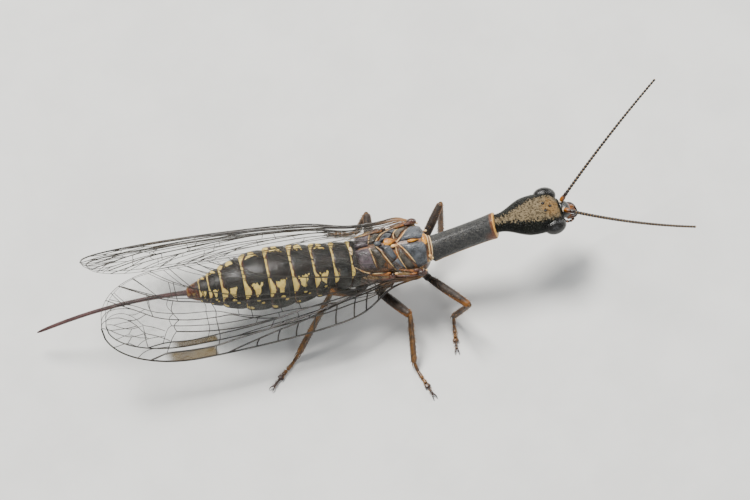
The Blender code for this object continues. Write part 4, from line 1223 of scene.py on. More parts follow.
# %% Joints of the six legs: root, hip, knee, ankle and toe
LEGS = {
    "front_right": ((0.02, -0.42, 1.75), (0.30, -0.64, 1.30), (1.49, -2.28, 1.90),
                    (1.02, -1.86, 0.42), (0.90, -3.05, 0.0)),
    "middle_right": ((-0.90, -0.40, 1.20), (-1.42, -0.64, 0.80), (-0.56, -2.01, 1.34),
                     (-0.68, -3.36, 0.40), (-0.24, -4.60, 0.0)),
    "hind_right": ((-1.75, -0.36, 1.30), (-2.20, -0.66, 1.05), (-3.16, -1.06, 2.33),
                   (-4.58, -2.24, 0.40), (-5.66, -3.24, 0.0)),
    "front_left": ((0.46, 0.30, 1.80), (0.38, 0.62, 1.30), (1.26, 1.74, 1.94),
                   (1.20, 1.38, 0.42), (2.06, 1.08, 0.0)),
    "middle_left": ((-0.90, 0.40, 1.20), (-1.42, 0.64, 0.80), (-1.30, 2.21, 1.15),
                    (-1.70, 1.98, 0.42), (-2.70, 2.20, 0.0)),
    "hind_left": ((-1.75, 0.36, 1.30), (-2.30, 0.62, 0.95), (-3.60, 1.20, 1.30),
                  (-4.85, 1.55, 0.40), (-6.00, 1.80, 0.0)),
}

# %% Paint for thighs, shins, feet and claws
LIMB_STRETCH = (0.7, 1.4, 1.4)
thigh_paint, tree, shader = new_material("thigh", 0.44, 0.05)
shader.inputs["Specular IOR Level"].default_value = 0.3
spot, x, _, z = place_of(tree)
amber = mottled(tree, spot, colour(130, 80, 20), colour(80, 47, 14), 4.0, 0.5)
dusk = mottled(tree, spot, colour(58, 48, 40), colour(30, 24, 21), 5.0)
upper_side = minus(tree, times(tree, z, 8.0), times(tree, x, 0.75))
coloured(tree, shader, blend(tree, ragged(tree, spot, upper_side, -0.45, 0.35, 0.5, 5.0), amber, dusk))
wrinkled(tree, shader, stretched(tree, spot, LIMB_STRETCH), 16.0, 16.0, 0.5, 0.014)

shin_paint, tree, shader = new_material("shin", 0.38, 0.1)
spot, _, y, _ = place_of(tree)
amber = mottled(tree, spot, colour(108, 70, 18), colour(58, 37, 11), 4.0, 0.5)
edge_dark = times(tree, ragged(tree, spot, size_of(tree, y), 0.066, 0.030, 0.05, 9.0), 0.8)
coloured(tree, shader, blend(tree, edge_dark, amber, colour(32, 21, 12)))
wrinkled(tree, shader, stretched(tree, spot, LIMB_STRETCH), 16.0, 16.0, 0.5, 0.012)

foot_paint, tree, shader = new_material("foot", 0.36, 0.15)
spot, x, _, _ = place_of(tree)
amber = mottled(tree, spot, colour(116, 76, 24), colour(64, 40, 15), 6.0, 0.5)
coloured(tree, shader, blend(tree, step(tree, x, 0.80, 1.12), amber, colour(48, 30, 22)))
wrinkled(tree, shader, spot, 18.0, 20.0, 0.5, 0.010)
claw_paint = plain_shell("claw", colour(70, 36, 22), colour(24, 14, 10), 9.0, 0.22, 0.4)[0]

# %% Hairs: thin spikes, each with its own patch of the bake map
HAIR_RADIUS, HAIR_PATCH = 0.0075, 0.003
hair_paint = plain_shell("fine_hair", colour(186, 140, 88), colour(92, 60, 38), 3.0, 0.5)[0]


def hairs(name, roots):
    """Each root is (point, direction, length, u, v). One hair is a three-sided spike."""
    corners, faces, patches = [], [], []
    for point, way, length, u, v in roots:
        way = way.normalized()
        side = way.orthogonal().normalized()
        third = way.cross(side)
        start = len(corners)
        for k in range(3):
            turn = 2.0 * math.pi * k / 3.0
            corners.append(point + (side * math.cos(turn) + third * math.sin(turn)) * HAIR_RADIUS)
        corners.append(point + way * length)
        faces += [(start + k, start + (k + 1) % 3, start + 3) for k in range(3)]
        faces.append((start + 2, start + 1, start))
        patches += [(u, v), (u + HAIR_PATCH, v), (u + HAIR_PATCH / 2.0, v + HAIR_PATCH)] * 4
    mesh = bpy.data.meshes.new(name)
    mesh.from_pydata([tuple(corner) for corner in corners], [], faces)
    bake = mesh.uv_layers.new(name="OFBake")
    bake.data.foreach_set("uv", [value for patch in patches for value in patch])
    piece = bpy.data.objects.new(name, mesh)
    bpy.context.scene.collection.objects.link(piece)
    remember(piece)
    hand_over(piece, name, hair_paint)


# %% Grow one limb joint, and root hair on it
chance = random.Random(7)


def limb(name, start, end, profile, radius):
    """A straight joint from start to end. The profile is (share of length, share of radius)."""
    length = (Vector(end) - Vector(start)).length
    piece = grow(name, [(share * length, radius * part, radius * part, 0.0) for share, part in profile], 18, 2)
    remember(piece)
    piece.data.transform(facing(start, end))
    return piece


def limb_hairs(start, end, radius, count, length, band):
    """Hair roots spread over a straight joint, leaning towards its far end."""
    way = Vector(end) - Vector(start)
    frame_of_limb = facing(start, end)
    roots = []
    for _ in range(count):
        share, turn = chance.uniform(0.08, 0.97), chance.uniform(0.0, 2.0 * math.pi)
        local = Vector((share * way.length, radius * math.cos(turn) * 0.96, radius * math.sin(turn) * 0.96))
        lean = Vector((0.9, math.cos(turn) * 0.55, math.sin(turn) * 0.55))
        roots.append((frame_of_limb @ local, frame_of_limb.to_3x3() @ lean, length * chance.uniform(0.6, 1.1),
                      band + 0.02 * turn / 6.3, 0.02 + 0.94 * share))
    return roots


# %% Hip, knob and thigh
HIP_RADIUS, KNOB_RADIUS, THIGH_RADIUS, MIDDLE_STOUTER = 0.16, 0.135, 0.150, 1.12
THIGH_START, KNOB_END = 0.10, 0.18
HIP_PROFILE = ((0.0, 0.7), (0.1, 1.1), (0.45, 1.2), (0.8, 1.0), (1.0, 0.6))
KNOB_PROFILE = ((0.0, 0.6), (0.2, 1.0), (0.6, 1.1), (0.9, 0.85), (1.0, 0.6))
THIGH_PROFILE = ((0.0, 0.62), (0.05, 0.85), (0.22, 1.02), (0.48, 1.08), (0.75, 1.0), (0.92, 0.88),
                 (0.97, 0.86), (1.0, 0.60))


def upper_leg(label, root, hip, knee):
    onward = (knee - hip).normalized()
    hip_joint = limb("hip", root, hip, HIP_PROFILE, HIP_RADIUS)
    knob = limb("knob", hip - onward * THIGH_START, hip + onward * KNOB_END, KNOB_PROFILE, KNOB_RADIUS)
    hand_over(join("hip_" + label, [hip_joint, knob]), "hip_" + label, thigh_paint)
    radius = THIGH_RADIUS * (MIDDLE_STOUTER if label.startswith("middle") else 1.0)
    thigh = limb("thigh", hip + onward * THIGH_START, knee, THIGH_PROFILE, radius)
    hand_over(thigh, "thigh_" + label, thigh_paint, ["thigh_" + label])


# %% Shin, with its two spurs at the ankle
SHIN_RADIUS, KNEE_OVERLAP, SPUR_RADII = 0.106, 0.05, (0.024, 0.018, 0.004)
SHIN_PROFILE = ((0.0, 0.6), (0.03, 0.86), (0.10, 0.84), (0.18, 0.94), (0.5, 1.0), (0.85, 1.05), (0.96, 1.08),
                (1.0, 0.75))
SPUR_LINE = ((-0.06, 0.0, 0.06), (0.04, 0.0, 0.09), (0.10, 0.10, 0.08))


def lower_leg(label, knee, ankle, down, way):
    """The spurs' line is given down the shin, along the foot and across both."""
    shin = limb("shin", knee - down * KNEE_OVERLAP, ankle, SHIN_PROFILE, SHIN_RADIUS)
    across = down.cross(way)
    across = across.normalized() if across.length > 0.1 else Vector((0.0, 0.0, 1.0)).cross(way)
    spurs = [bent_tube("spur", [ankle + down * low + way * ahead + across * s * aside
                                for low, ahead, aside in SPUR_LINE], SPUR_RADII, 8) for s in (1, -1)]
    hand_over(join("shin_" + label, [shin] + spurs), "shin_" + label, shin_paint,
              ["shin_" + label])


# %% Foot of five joints, flat on the floor
FOOT_RADIUS, SOLE_HEIGHT, LOWEST = 0.066, 0.080, 0.004
FOOT_ROOT_PROFILE = ((0.0, 0.6), (0.15, 0.9), (0.6, 1.0), (0.92, 1.0), (1.0, 0.7))
FOOT_PROFILE = ((0.0, 0.55), (0.10, 0.80), (0.45, 0.95), (0.85, 1.12), (1.0, 0.85))
FOOT_STOPS = ((0.0, 0.36, 1.0, 1.0), (0.37, 0.55, 1.06, 1.0), (0.56, 0.70, 1.75, 0.8), (0.68, 0.76, 0.7, 0.9),
              (0.74, 1.0, 0.72, 1.0))


def foot_joint(start, end, side_way, wide, high):
    joint = limb("foot_joint", start, end, FOOT_PROFILE, FOOT_RADIUS)
    points = coordinates(joint)
    offset = (points - np.array(tuple(start))) @ side_way
    points += np.outer(offset * (wide - 1.0), side_way)
    points[:, 2] = SOLE_HEIGHT + (points[:, 2] - SOLE_HEIGHT) * high
    reshape(joint, points)
    return joint


def run_on(joints):
    """Let each joint's stored length start where the last one's ended."""
    shift = 0.0
    for joint in joints:
        stored = np.zeros(len(joint.data.vertices) * 3, np.float32)
        joint.data.attributes["place"].data.foreach_get("vector", stored)
        stored = stored.reshape(-1, 3)
        stored[:, 0] += shift
        remember(joint, stored)
        shift = stored[:, 0].max()


def foot(label, top, heel, toe):
    way, reach = (toe - heel).normalized(), (toe - heel).length
    side_way = np.array((-way.y, way.x, 0.0))
    joints = [limb("foot_root", top, heel + way * reach * 0.05, FOOT_ROOT_PROFILE, FOOT_RADIUS)]
    for near, far, wide, high in FOOT_STOPS:
        joints.append(foot_joint(between(heel, toe, near), between(heel, toe, far), side_way, wide, high))
    run_on(joints)
    piece = join("foot_" + label, joints)
    points = coordinates(piece)
    points[:, 2] = np.maximum(points[:, 2], LOWEST)
    reshape(piece, points)
    hand_over(piece, "foot_" + label, foot_paint, ["foot_" + label])


# %% Two claws at the toe
CLAW_LINE = ((-0.05, 0.02, 0.0), (0.06, 0.06, 0.03), (0.15, 0.075, 0.0), (0.18, 0.06, -0.07))
CLAW_RADII = (0.032, 0.030, 0.024, 0.014, 0.003)


def claws(label, toe, way):
    """The claws' line is given along the foot, across it and up."""
    side_way = Vector((-way.y, way.x, 0.0))
    pair = [bent_tube("claw", [toe + way * ahead + side_way * s * aside + Vector((0.0, 0.0, rise))
                               for ahead, aside, rise in CLAW_LINE], CLAW_RADII, 8) for s in (1, -1)]
    hand_over(join("claws_" + label, pair), "claws_" + label, claw_paint)


# %% Model the six legs
ANKLE_DROP, HEEL_STEP, FOOT_OVERLAP = 0.16, 0.22, 0.03
BAKE_ROW, HAIR_FLOOR = 0.12, 0.01


def at_sole(point):
    return Vector((point[0], point[1], SOLE_HEIGHT))


for count, (label, places) in enumerate(LEGS.items()):
    root, hip, knee, ankle, toe = (Vector(place) for place in places)
    toe = at_sole(toe)
    way = Vector((toe.x - ankle.x, toe.y - ankle.y, 0.0)).normalized()
    heel = at_sole(ankle + way * HEEL_STEP)
    ankle_low = ankle - Vector((0.0, 0.0, ANKLE_DROP))
    down = (ankle_low - knee).normalized()
    upper_leg(label, root, hip, knee)
    lower_leg(label, knee, ankle_low, down, way)
    foot(label, ankle_low - down * FOOT_OVERLAP, heel, toe)
    claws(label, toe, (toe - heel).normalized())
    row = BAKE_ROW * count
    tufts = (limb_hairs(hip, knee, THIGH_RADIUS, 70, 0.11, row)
             + limb_hairs(knee, ankle_low, SHIN_RADIUS, 120, 0.13, row + 0.03)
             + limb_hairs(heel, toe, FOOT_RADIUS * 1.1, 60, 0.09, row + 0.06))
    tufts = [tuft for tuft in tufts if (tuft[0] + tuft[1].normalized() * tuft[2]).z > HAIR_FLOOR]
    hairs("leg_hair_" + label, tufts)
print("legs:", ", ".join(LEGS))

# %% [markdown]
# ## Wings
#
# At rest the four wings fold over the body like a roof, so each wing is nearly flat and
# stands at a steep slope. Its front edge runs low along the body's side, and its rear edge
# meets the other wing on the ridge, but stops short of it by a hair. We describe a place on
# a wing by two shares: along its length from root to tip, and across from front edge to
# rear edge. Everything on the wing, film and veins, is laid out in those two shares and
# then lifted onto the roof. The left wing reaches a little farther back than the right
# one, and each front edge is bowed near its root, as the photo shows.

# %% The roof that the wings lie on
WING_SPANS = {1: 11.76, -1: 11.48}
WINGS = {"fore": {"from": 0.0, "to": 1.0, "inset": 0.0, "lift": 0.0, "root": 0.16},
         "hind": {"from": 0.105, "to": 0.985, "inset": 0.54, "lift": -0.13, "root": 0.20}}
WING_BOWS = {1: ((0.14, 0.55, 0.45), (-0.16, 2.3, 0.9)), -1: ((-0.42, 1.15, 0.85),)}
ROOF_START_X, ROOF_SLOPE, LESS_AT_ROOT, SLOPE_REACH = 0.15, 52, 10, 1.5
EDGE_OUT, EDGE_SPREAD, EDGE_REACH = 1.05, 1.37, 2.9
EDGE_UP, EDGE_UP_AT_ROOT, RIDGE_GAP = 1.55, 0.90, 0.03
FULL_WIDTH, WIDTH_START, WIDTH_REACH = 3.78, 0.35, 1.75
TIP_ACROSS, ARCH_HEIGHT, ROOT_SHARE = 1.95, 0.16, 0.16


def round_off(share, start, power):
    """0 up to start, then a round shoulder up to 1 at the tip."""
    along = max(share - start, 0.0) / (1.0 - start)
    return 1.0 - max(1.0 - along ** power, 0.0) ** (1.0 / power)


def front_bow(side, gone):
    """How far the front edge is bowed outwards at a distance from the root."""
    bow = sum(height * math.exp(-((gone - middle) / reach) ** 2) for height, middle, reach in WING_BOWS[side])
    return bow * ramp(gone, 0.0, 0.5)


def wing_point(kind, side, s, c):
    """The place on a wing's film at a share of its length and of its width."""
    wing = WINGS[kind]
    gone = between(wing["from"], wing["to"], s) * WING_SPANS[side]
    slope = math.radians(ROOF_SLOPE - LESS_AT_ROOT * math.exp(-gone / SLOPE_REACH))
    edge = Vector((ROOF_START_X - gone, EDGE_OUT + EDGE_SPREAD * (1.0 - math.exp(-gone / EDGE_REACH)),
                   EDGE_UP + EDGE_UP_AT_ROOT * math.exp(-gone)))
    chord = Vector((0.0, -math.cos(slope), math.sin(slope)))
    outward = Vector((0.0, math.sin(slope), math.cos(slope)))
    to_ridge = (edge.y - RIDGE_GAP + wing["lift"] * math.sin(slope)) / math.cos(slope)
    full = min(FULL_WIDTH * (1.0 - math.exp(-(gone + WIDTH_START) / WIDTH_REACH)), to_ridge)
    opening = ramp(s, -0.02, ROOT_SHARE)
    inset = wing["inset"] * opening
    front = inset + (TIP_ACROSS - inset) * round_off(s, 0.70, 2.0)
    rear = between(inset + wing["root"], full, max(opening, 0.25)) if s < ROOT_SHARE else full
    rear -= (rear - TIP_ACROSS) * round_off(s, 0.76, 2.5)
    off = between(front, rear, c)
    arch = ARCH_HEIGHT * math.sin(math.pi * min(max(off / full, 0.0), 1.0)) * ramp(gone, 0.0, 2.0)
    place = edge + chord * off + outward * (wing["lift"] + arch)
    place.y = side * (place.y + front_bow(side, gone) * (1.0 - c))
    return place


# %% [markdown]
# ### Veins
#
# Along a wing run a few long veins, which fork towards the rim, and short cross-veins tie
# them into cells. Each long vein is a handful of (along, across) places, and each
# cross-vein names the two long veins it ties and where. The front rim, the two veins close
# behind it and their ladder of cross-veins are the strongest.

# %% The long veins of both wings, as places along and across, each with its radius
LONG_VEINS = {
    "rim_front": (((0.0, 0.0), (0.25, 0.0), (0.5, 0.0), (0.75, 0.0), (0.9, 0.0), (1.0, 0.0)), 0.034),
    "rim_rear": (((0.0, 1.0), (0.2, 1.0), (0.4, 1.0), (0.6, 1.0), (0.8, 1.0), (0.92, 1.0), (1.0, 1.0)), 0.014),
    "subcosta": (((0.0, 0.12), (0.06, 0.13), (0.12, 0.19), (0.18, 0.27), (0.22, 0.285), (0.27, 0.27),
                  (0.334, 0.215), (0.39, 0.17), (0.468, 0.13), (0.522, 0.09), (0.568, 0.055), (0.604, 0.025),
                  (0.63, 0.0)), 0.030),
    "radius": (((0.0, 0.22), (0.08, 0.21), (0.14, 0.26), (0.19, 0.315), (0.24, 0.31), (0.28, 0.29),
                (0.336, 0.243), (0.39, 0.215), (0.452, 0.195), (0.496, 0.17), (0.566, 0.15), (0.622, 0.125),
                (0.66, 0.105), (0.726, 0.108), (0.774, 0.108), (0.814, 0.10), (0.85, 0.035), (0.866, 0.0)), 0.034),
    "sector": (((0.28, 0.29), (0.34, 0.32), (0.404, 0.305), (0.458, 0.275), (0.526, 0.268), (0.58, 0.255),
                (0.646, 0.27), (0.72, 0.305), (0.776, 0.335)), 0.027),
    "sector_fork": (((0.458, 0.275), (0.50, 0.295), (0.566, 0.36), (0.604, 0.42), (0.65, 0.415),
                     (0.714, 0.43), (0.765, 0.455), (0.83, 0.50), (0.88, 0.60), (0.93, 0.72), (0.96, 0.86),
                     (0.975, 1.0)), 0.022),
    "media": (((0.0, 0.30), (0.08, 0.28), (0.18, 0.37), (0.3, 0.43), (0.42, 0.48), (0.52, 0.52), (0.64, 0.56),
               (0.70, 0.61), (0.774, 0.655), (0.84, 0.74), (0.90, 0.88), (0.93, 1.0)), 0.024),
    "media_fork": (((0.50, 0.512), (0.60, 0.62), (0.70, 0.74), (0.78, 0.87), (0.83, 1.0)), 0.017),
    "cubitus": (((0.03, 0.42), (0.1, 0.46), (0.2, 0.56), (0.32, 0.64), (0.45, 0.73), (0.55, 0.84),
                 (0.62, 0.94), (0.655, 1.0)), 0.020),
    "cubitus_fork": (((0.44, 0.722), (0.54, 0.75), (0.63, 0.84), (0.70, 0.94), (0.73, 1.0)), 0.016),
    "cubitus_rear": (((0.04, 0.50), (0.12, 0.61), (0.22, 0.74), (0.34, 0.86), (0.42, 0.95),
                      (0.46, 1.0)), 0.015),
    "anal_front": (((0.03, 0.60), (0.1, 0.73), (0.18, 0.86), (0.27, 0.96), (0.31, 1.0)), 0.012),
    "anal_rear": (((0.02, 0.72), (0.07, 0.84), (0.13, 0.95), (0.17, 1.0)), 0.011),
}
HIND_VEINS = {
    "subcosta": (((0.0, 0.08), (0.2, 0.09), (0.3, 0.08), (0.4, 0.055), (0.5, 0.03), (0.56, 0.0)), 0.024),
    "radius": (((0.0, 0.15), (0.1, 0.16), (0.18, 0.175), (0.266, 0.175), (0.338, 0.155), (0.40, 0.12),
                (0.526, 0.088), (0.624, 0.082), (0.70, 0.07), (0.754, 0.078), (0.80, 0.085), (0.85, 0.035),
                (0.866, 0.0)), 0.034),
    "sector": (((0.29, 0.17), (0.36, 0.20), (0.46, 0.20), (0.58, 0.205), (0.646, 0.23), (0.72, 0.27),
                (0.776, 0.30)), 0.022),
    "sector_fork": (((0.458, 0.20), (0.50, 0.24), (0.566, 0.32), (0.61, 0.39), (0.65, 0.41), (0.714, 0.43),
                     (0.765, 0.455), (0.83, 0.50), (0.88, 0.60), (0.93, 0.72), (0.96, 0.86),
                     (0.975, 1.0)), 0.020),
}
print("long veins:", len(LONG_VEINS), "and", len(HIND_VEINS), "of them redrawn on the hindwings")

# %% The cross-veins and small forks, each from vein to vein through free places
NET = (
    # ties between the long veins, from the root outwards
    (("subcosta", 0.12), ("radius", 0.12)), (("radius", 0.15), ("media", 0.16)),
    (("media", 0.17), ("cubitus", 0.18)), (("cubitus_rear", 0.11), ("anal_front", 0.11)),
    (("media", 0.30), ("cubitus", 0.29)), (("cubitus", 0.26), ("cubitus_rear", 0.27)),
    (("radius", 0.40), ("sector", 0.404)), (("radius", 0.49), ("sector", 0.475)),
    (("sector", 0.39), ("media", 0.40)), (("media", 0.42), ("cubitus", 0.42)),
    (("sector_fork", 0.54), ("media", 0.545)), (("media", 0.55), ("media_fork", 0.56)),
    (("radius", 0.655), (0.646, 0.19), ("sector", 0.648)), (("sector", 0.648), ("sector_fork", 0.652)),
    (("sector_fork", 0.652), (0.648, 0.48), ("media", 0.66)), (("media", 0.67), ("media_fork", 0.68)),
    (("media_fork", 0.60), ("cubitus_fork", 0.61)), (("rim_front", 0.666), ("radius", 0.662)),
    # cells behind the end of the wing spot
    (("sector", 0.776), (0.792, 0.27), ("radius", 0.814)),
    (("sector", 0.776), (0.784, 0.40), ("sector_fork", 0.764)),
    (("sector_fork", 0.764), (0.786, 0.56), ("media", 0.774)), (("media", 0.76), ("media_fork", 0.765)),
    (("sector_fork", 0.84), (0.848, 0.62), ("media", 0.845)),
    # forks that reach the rim
    ((0.800, 0.24), (0.842, 0.31), (0.874, 0.335), (0.892, 0.435), (0.922, 0.535), (0.952, 0.59),
     (1.0, 0.62)),
    ((0.874, 0.335), (0.914, 0.285), (0.936, 0.295), (0.956, 0.32), (0.978, 0.38), (1.0, 0.40)),
    ((0.892, 0.435), (0.92, 0.41), (0.948, 0.395), (0.972, 0.37)),
    ((0.806, 0.17), (0.86, 0.15), (0.886, 0.09), (0.904, 0.0)),
    ((0.86, 0.15), (0.90, 0.155), (0.926, 0.20), (0.95, 0.135), (0.974, 0.0)),
    ((0.914, 0.285), (0.926, 0.20)),
    ((0.868, 0.155), (0.872, 0.25), (0.874, 0.335)), (("sector_fork", 0.86), (0.895, 0.50), (0.918, 0.52)),
    (("sector_fork", 0.90), (0.95, 0.72), (1.0, 0.80)), (("sector_fork", 0.92), (0.945, 0.88), (0.955, 1.0)),
    (("media", 0.81), (0.855, 0.87), (0.885, 1.0)), (("media_fork", 0.71), (0.75, 0.90), (0.775, 1.0)),
    (("cubitus_fork", 0.60), (0.655, 0.92), (0.69, 1.0)), (("cubitus", 0.52), (0.565, 0.92), (0.59, 1.0)),
    (("cubitus_rear", 0.33), (0.37, 0.94), (0.39, 1.0)))
LADDER = {"fore": (0.105, 0.15, 0.192, 0.232, 0.291, 0.360, 0.416, 0.474, 0.54), "hind": (0.30, 0.40)}
NET_RADIUS, LADDER_RADIUS, RUNG_SLANT = 0.017, 0.027, 0.012
HIND_CLEAR, HIND_THINNER = 0.22, 0.8
print("cross-veins and forks:", len(NET), "and", len(LADDER["fore"]), "rungs of the ladder")


# %% Find a place on a vein, and list the veins of one wing
VEIN_PITCH, WIDTH_IN_LENGTHS = 0.012, 0.3


def long_veins(kind):
    return {**LONG_VEINS, **HIND_VEINS} if kind == "hind" else LONG_VEINS


def vein_across(kind, label, s):
    knots = long_veins(kind)[label][0]
    return float(np.interp(s, [k[0] for k in knots], [k[1] for k in knots]))


def smooth_plan(knots):
    """Cut the corners of a flat line of (along, across) places, keeping its ends."""
    return [(point.x, point.y) for point in smooth_line([(s, c, 0.0) for s, c in knots], 2)]


def dense(plan):
    """More places along a line, so that it follows the roof's curve."""
    out = [plan[0]]
    for (s0, c0), (s1, c1) in zip(plan, plan[1:]):
        parts = max(1, math.ceil(math.hypot(s1 - s0, (c1 - c0) * WIDTH_IN_LENGTHS) / VEIN_PITCH))
        out += [(s0 + (s1 - s0) * k / parts, c0 + (c1 - c0) * k / parts) for k in range(1, parts + 1)]
    return out


def wing_lines(kind):
    """Every vein of one wing as a list of (plan line, radius)."""
    lines = list(long_veins(kind).values())
    for s in LADDER[kind]:
        top = vein_across(kind, "subcosta", s - RUNG_SLANT)
        lines.append((((s, 0.0), (s - RUNG_SLANT / 4.0, top / 2.0), (s - RUNG_SLANT, top)), LADDER_RADIUS))
    for knots in NET:
        placed = [(knot[1], vein_across(kind, *knot)) if isinstance(knot[0], str) else knot for knot in knots]
        if kind == "fore" or placed[0][0] > HIND_CLEAR:
            lines.append((placed, NET_RADIUS))
    thinner = HIND_THINNER if kind == "hind" else 1.0
    return [(dense(smooth_plan(knots)), radius * thinner) for knots, radius in lines]


# %% Turn the lines into tubes on the wing
def vein_radius(kind, radius, s, c):
    """Thinner at the root, where hind veins crowd, and again towards the tip and rear rim."""
    crowded = 0.55 + 0.45 * ramp(s, 0.02, 0.22) if kind == "hind" else 1.0
    return radius * crowded * (0.90 + 0.18 * ramp(s, 0.0, 0.05)) * (1.0 - 0.20 * s) * (1.0 - 0.12 * c)


def vein_net(kind, side, label):
    """Curves with a round bevel, one for each vein, made a mesh."""
    net = bpy.data.curves.new("veins", "CURVE")
    net.dimensions, net.bevel_depth, net.bevel_resolution, net.use_fill_caps = "3D", 1.0, 1, True
    for plan, radius in wing_lines(kind):
        line = net.splines.new("POLY")
        line.points.add(len(plan) - 1)
        for point, (s, c) in zip(line.points, plan):
            point.co = (*wing_point(kind, side, s, c), 1.0)
            point.radius = vein_radius(kind, radius, s, c)
    piece = bpy.data.objects.new(label, net)
    bpy.context.scene.collection.objects.link(piece)
    only(piece)
    bpy.ops.object.convert(target="MESH")
    piece = bpy.context.object
    bpy.ops.object.mode_set(mode="EDIT")
    bpy.ops.mesh.select_all(action="SELECT")
    bpy.ops.mesh.remove_doubles(threshold=0.0005)
    bpy.ops.mesh.normals_make_consistent(inside=False)
    bpy.ops.object.mode_set(mode="OBJECT")
    return remember(piece)


# %% [markdown]
# ### Film
#
# The film between the veins is clear with a faint sheen. Real glass settings would bend
# the view of the body below, which so thin a film doesn't do, so it is mostly see-through
# by its alpha, with a clear gloss. A thicker brown-yellow cell sits near the tip of the
# front edge. A grid is laid out over the wing in the same two shares, and given thickness.

# %% Paint for the film
SPOT_START, SPOT_END, SPOT_EDGE, SPOT_SLANT = (0.652, 0.664), (0.826, 0.782), (0.109, 0.098), 0.08
HIND_SPOT_SHIFT = (0.034, 0.030)
film_paint, tree, shader = new_material("wing_film", 0.16, 0.3)
spot, s, c, is_hind = place_of(tree)
solid_spot = node(tree, "ShaderNodeTexCoord").outputs["Object"]
spot_along = plus(tree, minus(tree, s, times(tree, c, SPOT_SLANT)), times(tree, is_hind, HIND_SPOT_SHIFT[0]))
spot_across = plus(tree, c, times(tree, is_hind, HIND_SPOT_SHIFT[1]))
wing_spot = times(tree, step(tree, spot_along, *SPOT_START), step(tree, spot_along, *SPOT_END))
wing_spot = times(tree, wing_spot, step(tree, spot_across, *SPOT_EDGE))
root_tint = step(tree, s, 0.14, 0.02)
tone = mottled(tree, stretched(tree, spot, (9.0, 3.0, 1.0)), colour(128, 130, 116), colour(92, 96, 84), 2.0)
tone = blend(tree, root_tint, tone, colour(214, 158, 104))
brown = mottled(tree, solid_spot, colour(128, 100, 10), colour(94, 68, 6), 900.0)
coloured(tree, shader, blend(tree, wing_spot, tone, brown))

# %% See-through share of the film, and its faint waves
CLEAREST, CLOUDS, SPOT_BODY, ROOT_BODY = 0.018, 0.05, 0.68, 0.06
cloudy = node(tree, "ShaderNodeTexNoise", {"Vector": stretched(tree, spot, (14.0, 5.0, 1.0)), "Scale": 2.0,
                                           "Detail": 4.0})
alpha = plus(tree, CLEAREST, times(tree, step(tree, cloudy.outputs[0], 0.42, 0.72), CLOUDS))
alpha = larger(tree, alpha, times(tree, wing_spot, SPOT_BODY))
alpha = larger(tree, alpha, times(tree, root_tint, ROOT_BODY))
tree.links.new(alpha, shader.inputs["Alpha"])
wave = node(tree, "ShaderNodeTexNoise", {"Vector": stretched(tree, spot, (40.0, 12.0, 1.0)), "Scale": 1.0,
                                         "Detail": 2.0})
bumped(tree, shader, wave.outputs[0], 0.05)

# %% Paint for the veins, paler towards the root
vein_paint, tree, shader = new_material("wing_vein", 0.4, 0.1)
spot, x, _, _ = place_of(tree)
dark_vein = mottled(tree, spot, colour(46, 38, 28), colour(20, 16, 13), 2.0)
pale_vein = mottled(tree, spot, colour(150, 104, 52), colour(74, 50, 28), 2.0)
toward_root = times(tree, step(tree, x, -1.4, -0.1), 0.75)
coloured(tree, shader, blend(tree, toward_root, dark_vein, pale_vein))
wrinkled(tree, shader, spot, 18.0, 20.0, 0.5, 0.006)

# %% Model the four wings
FILM_THICKNESS, FILM_GRID, FILM_REACH = 0.012, (110, 34), 0.998


def wing_film(kind, side):
    """A grid laid out over the wing in its two shares, and given thickness."""
    deselect_all()
    bpy.ops.mesh.primitive_grid_add(x_subdivisions=FILM_GRID[0], y_subdivisions=FILM_GRID[1], size=2.0)
    film = bpy.context.object
    shares = [((u + 1.0) / 2.0 * FILM_REACH, (v + 1.0) / 2.0) for u, v, _ in coordinates(film)]
    remember(film, [(s, c, 0.0 if kind == "fore" else 1.0) for s, c in shares])
    reshape(film, [tuple(wing_point(kind, side, s, c)) for s, c in shares])
    apply_modifier(film, "SOLIDIFY", thickness=FILM_THICKNESS, offset=0.0)
    bpy.ops.object.mode_set(mode="EDIT")
    bpy.ops.mesh.select_all(action="SELECT")
    bpy.ops.mesh.normals_make_consistent(inside=False)
    bpy.ops.object.mode_set(mode="OBJECT")
    return film


for kind in WINGS:
    for side, half in SIDES:
        label = kind + "wing_" + half
        film = hand_over(wing_film(kind, side), "film_" + label, film_paint, [label])
        veins = hand_over(vein_net(kind, side, "veins_" + label), "veins_" + label, vein_paint)
        print(label, "film", len(film.data.polygons), "faces, veins", len(veins.data.polygons))

# %% [markdown]
# ### Wing roots
#
# Where a wing meets the chest sits a cluster of small hinge plates: a dark knob in front,
# pinkish and orange pieces behind it. They are lumps of a few sizes, set along the root.

# %% Set the hinge plates
HINGES = (
    ("fore", 0.06, 1.00, 2.46, (0.18, 0.13, 0.12), brown_plate),
    ("fore", -0.08, 0.90, 2.54, (0.16, 0.06, 0.05), brown_plate),
    ("fore", -0.24, 0.98, 2.48, (0.16, 0.045, 0.04), fold_plate),
    ("fore", 0.13, 0.97, 2.56, (0.07, 0.05, 0.04), claw_paint),
    ("fore", 0.24, 0.92, 2.44, (0.05, 0.04, 0.03), soft_paint),
    ("hind", -0.98, 0.90, 2.40, (0.13, 0.09, 0.09), brown_plate),
    ("hind", -1.14, 0.82, 2.52, (0.14, 0.05, 0.04), fold_plate),
    ("hind", -0.95, 0.90, 2.52, (0.07, 0.05, 0.04), claw_paint),
    ("hind", -0.82, 0.86, 2.46, (0.07, 0.05, 0.04), soft_paint),
)
for side, half in SIDES:
    for kind, x, y, z, size, material in HINGES:
        hinge = lump("hinge", (x, side * y, z), size, 0.2)
        remember(hinge)
        number = round(-100 * x) + 40
        hand_over(hinge, "hinge_%s_%s_%d" % (kind, half, number), material)
print("hinge plates:", 2 * len(HINGES), "numbered by their place from front to rear")

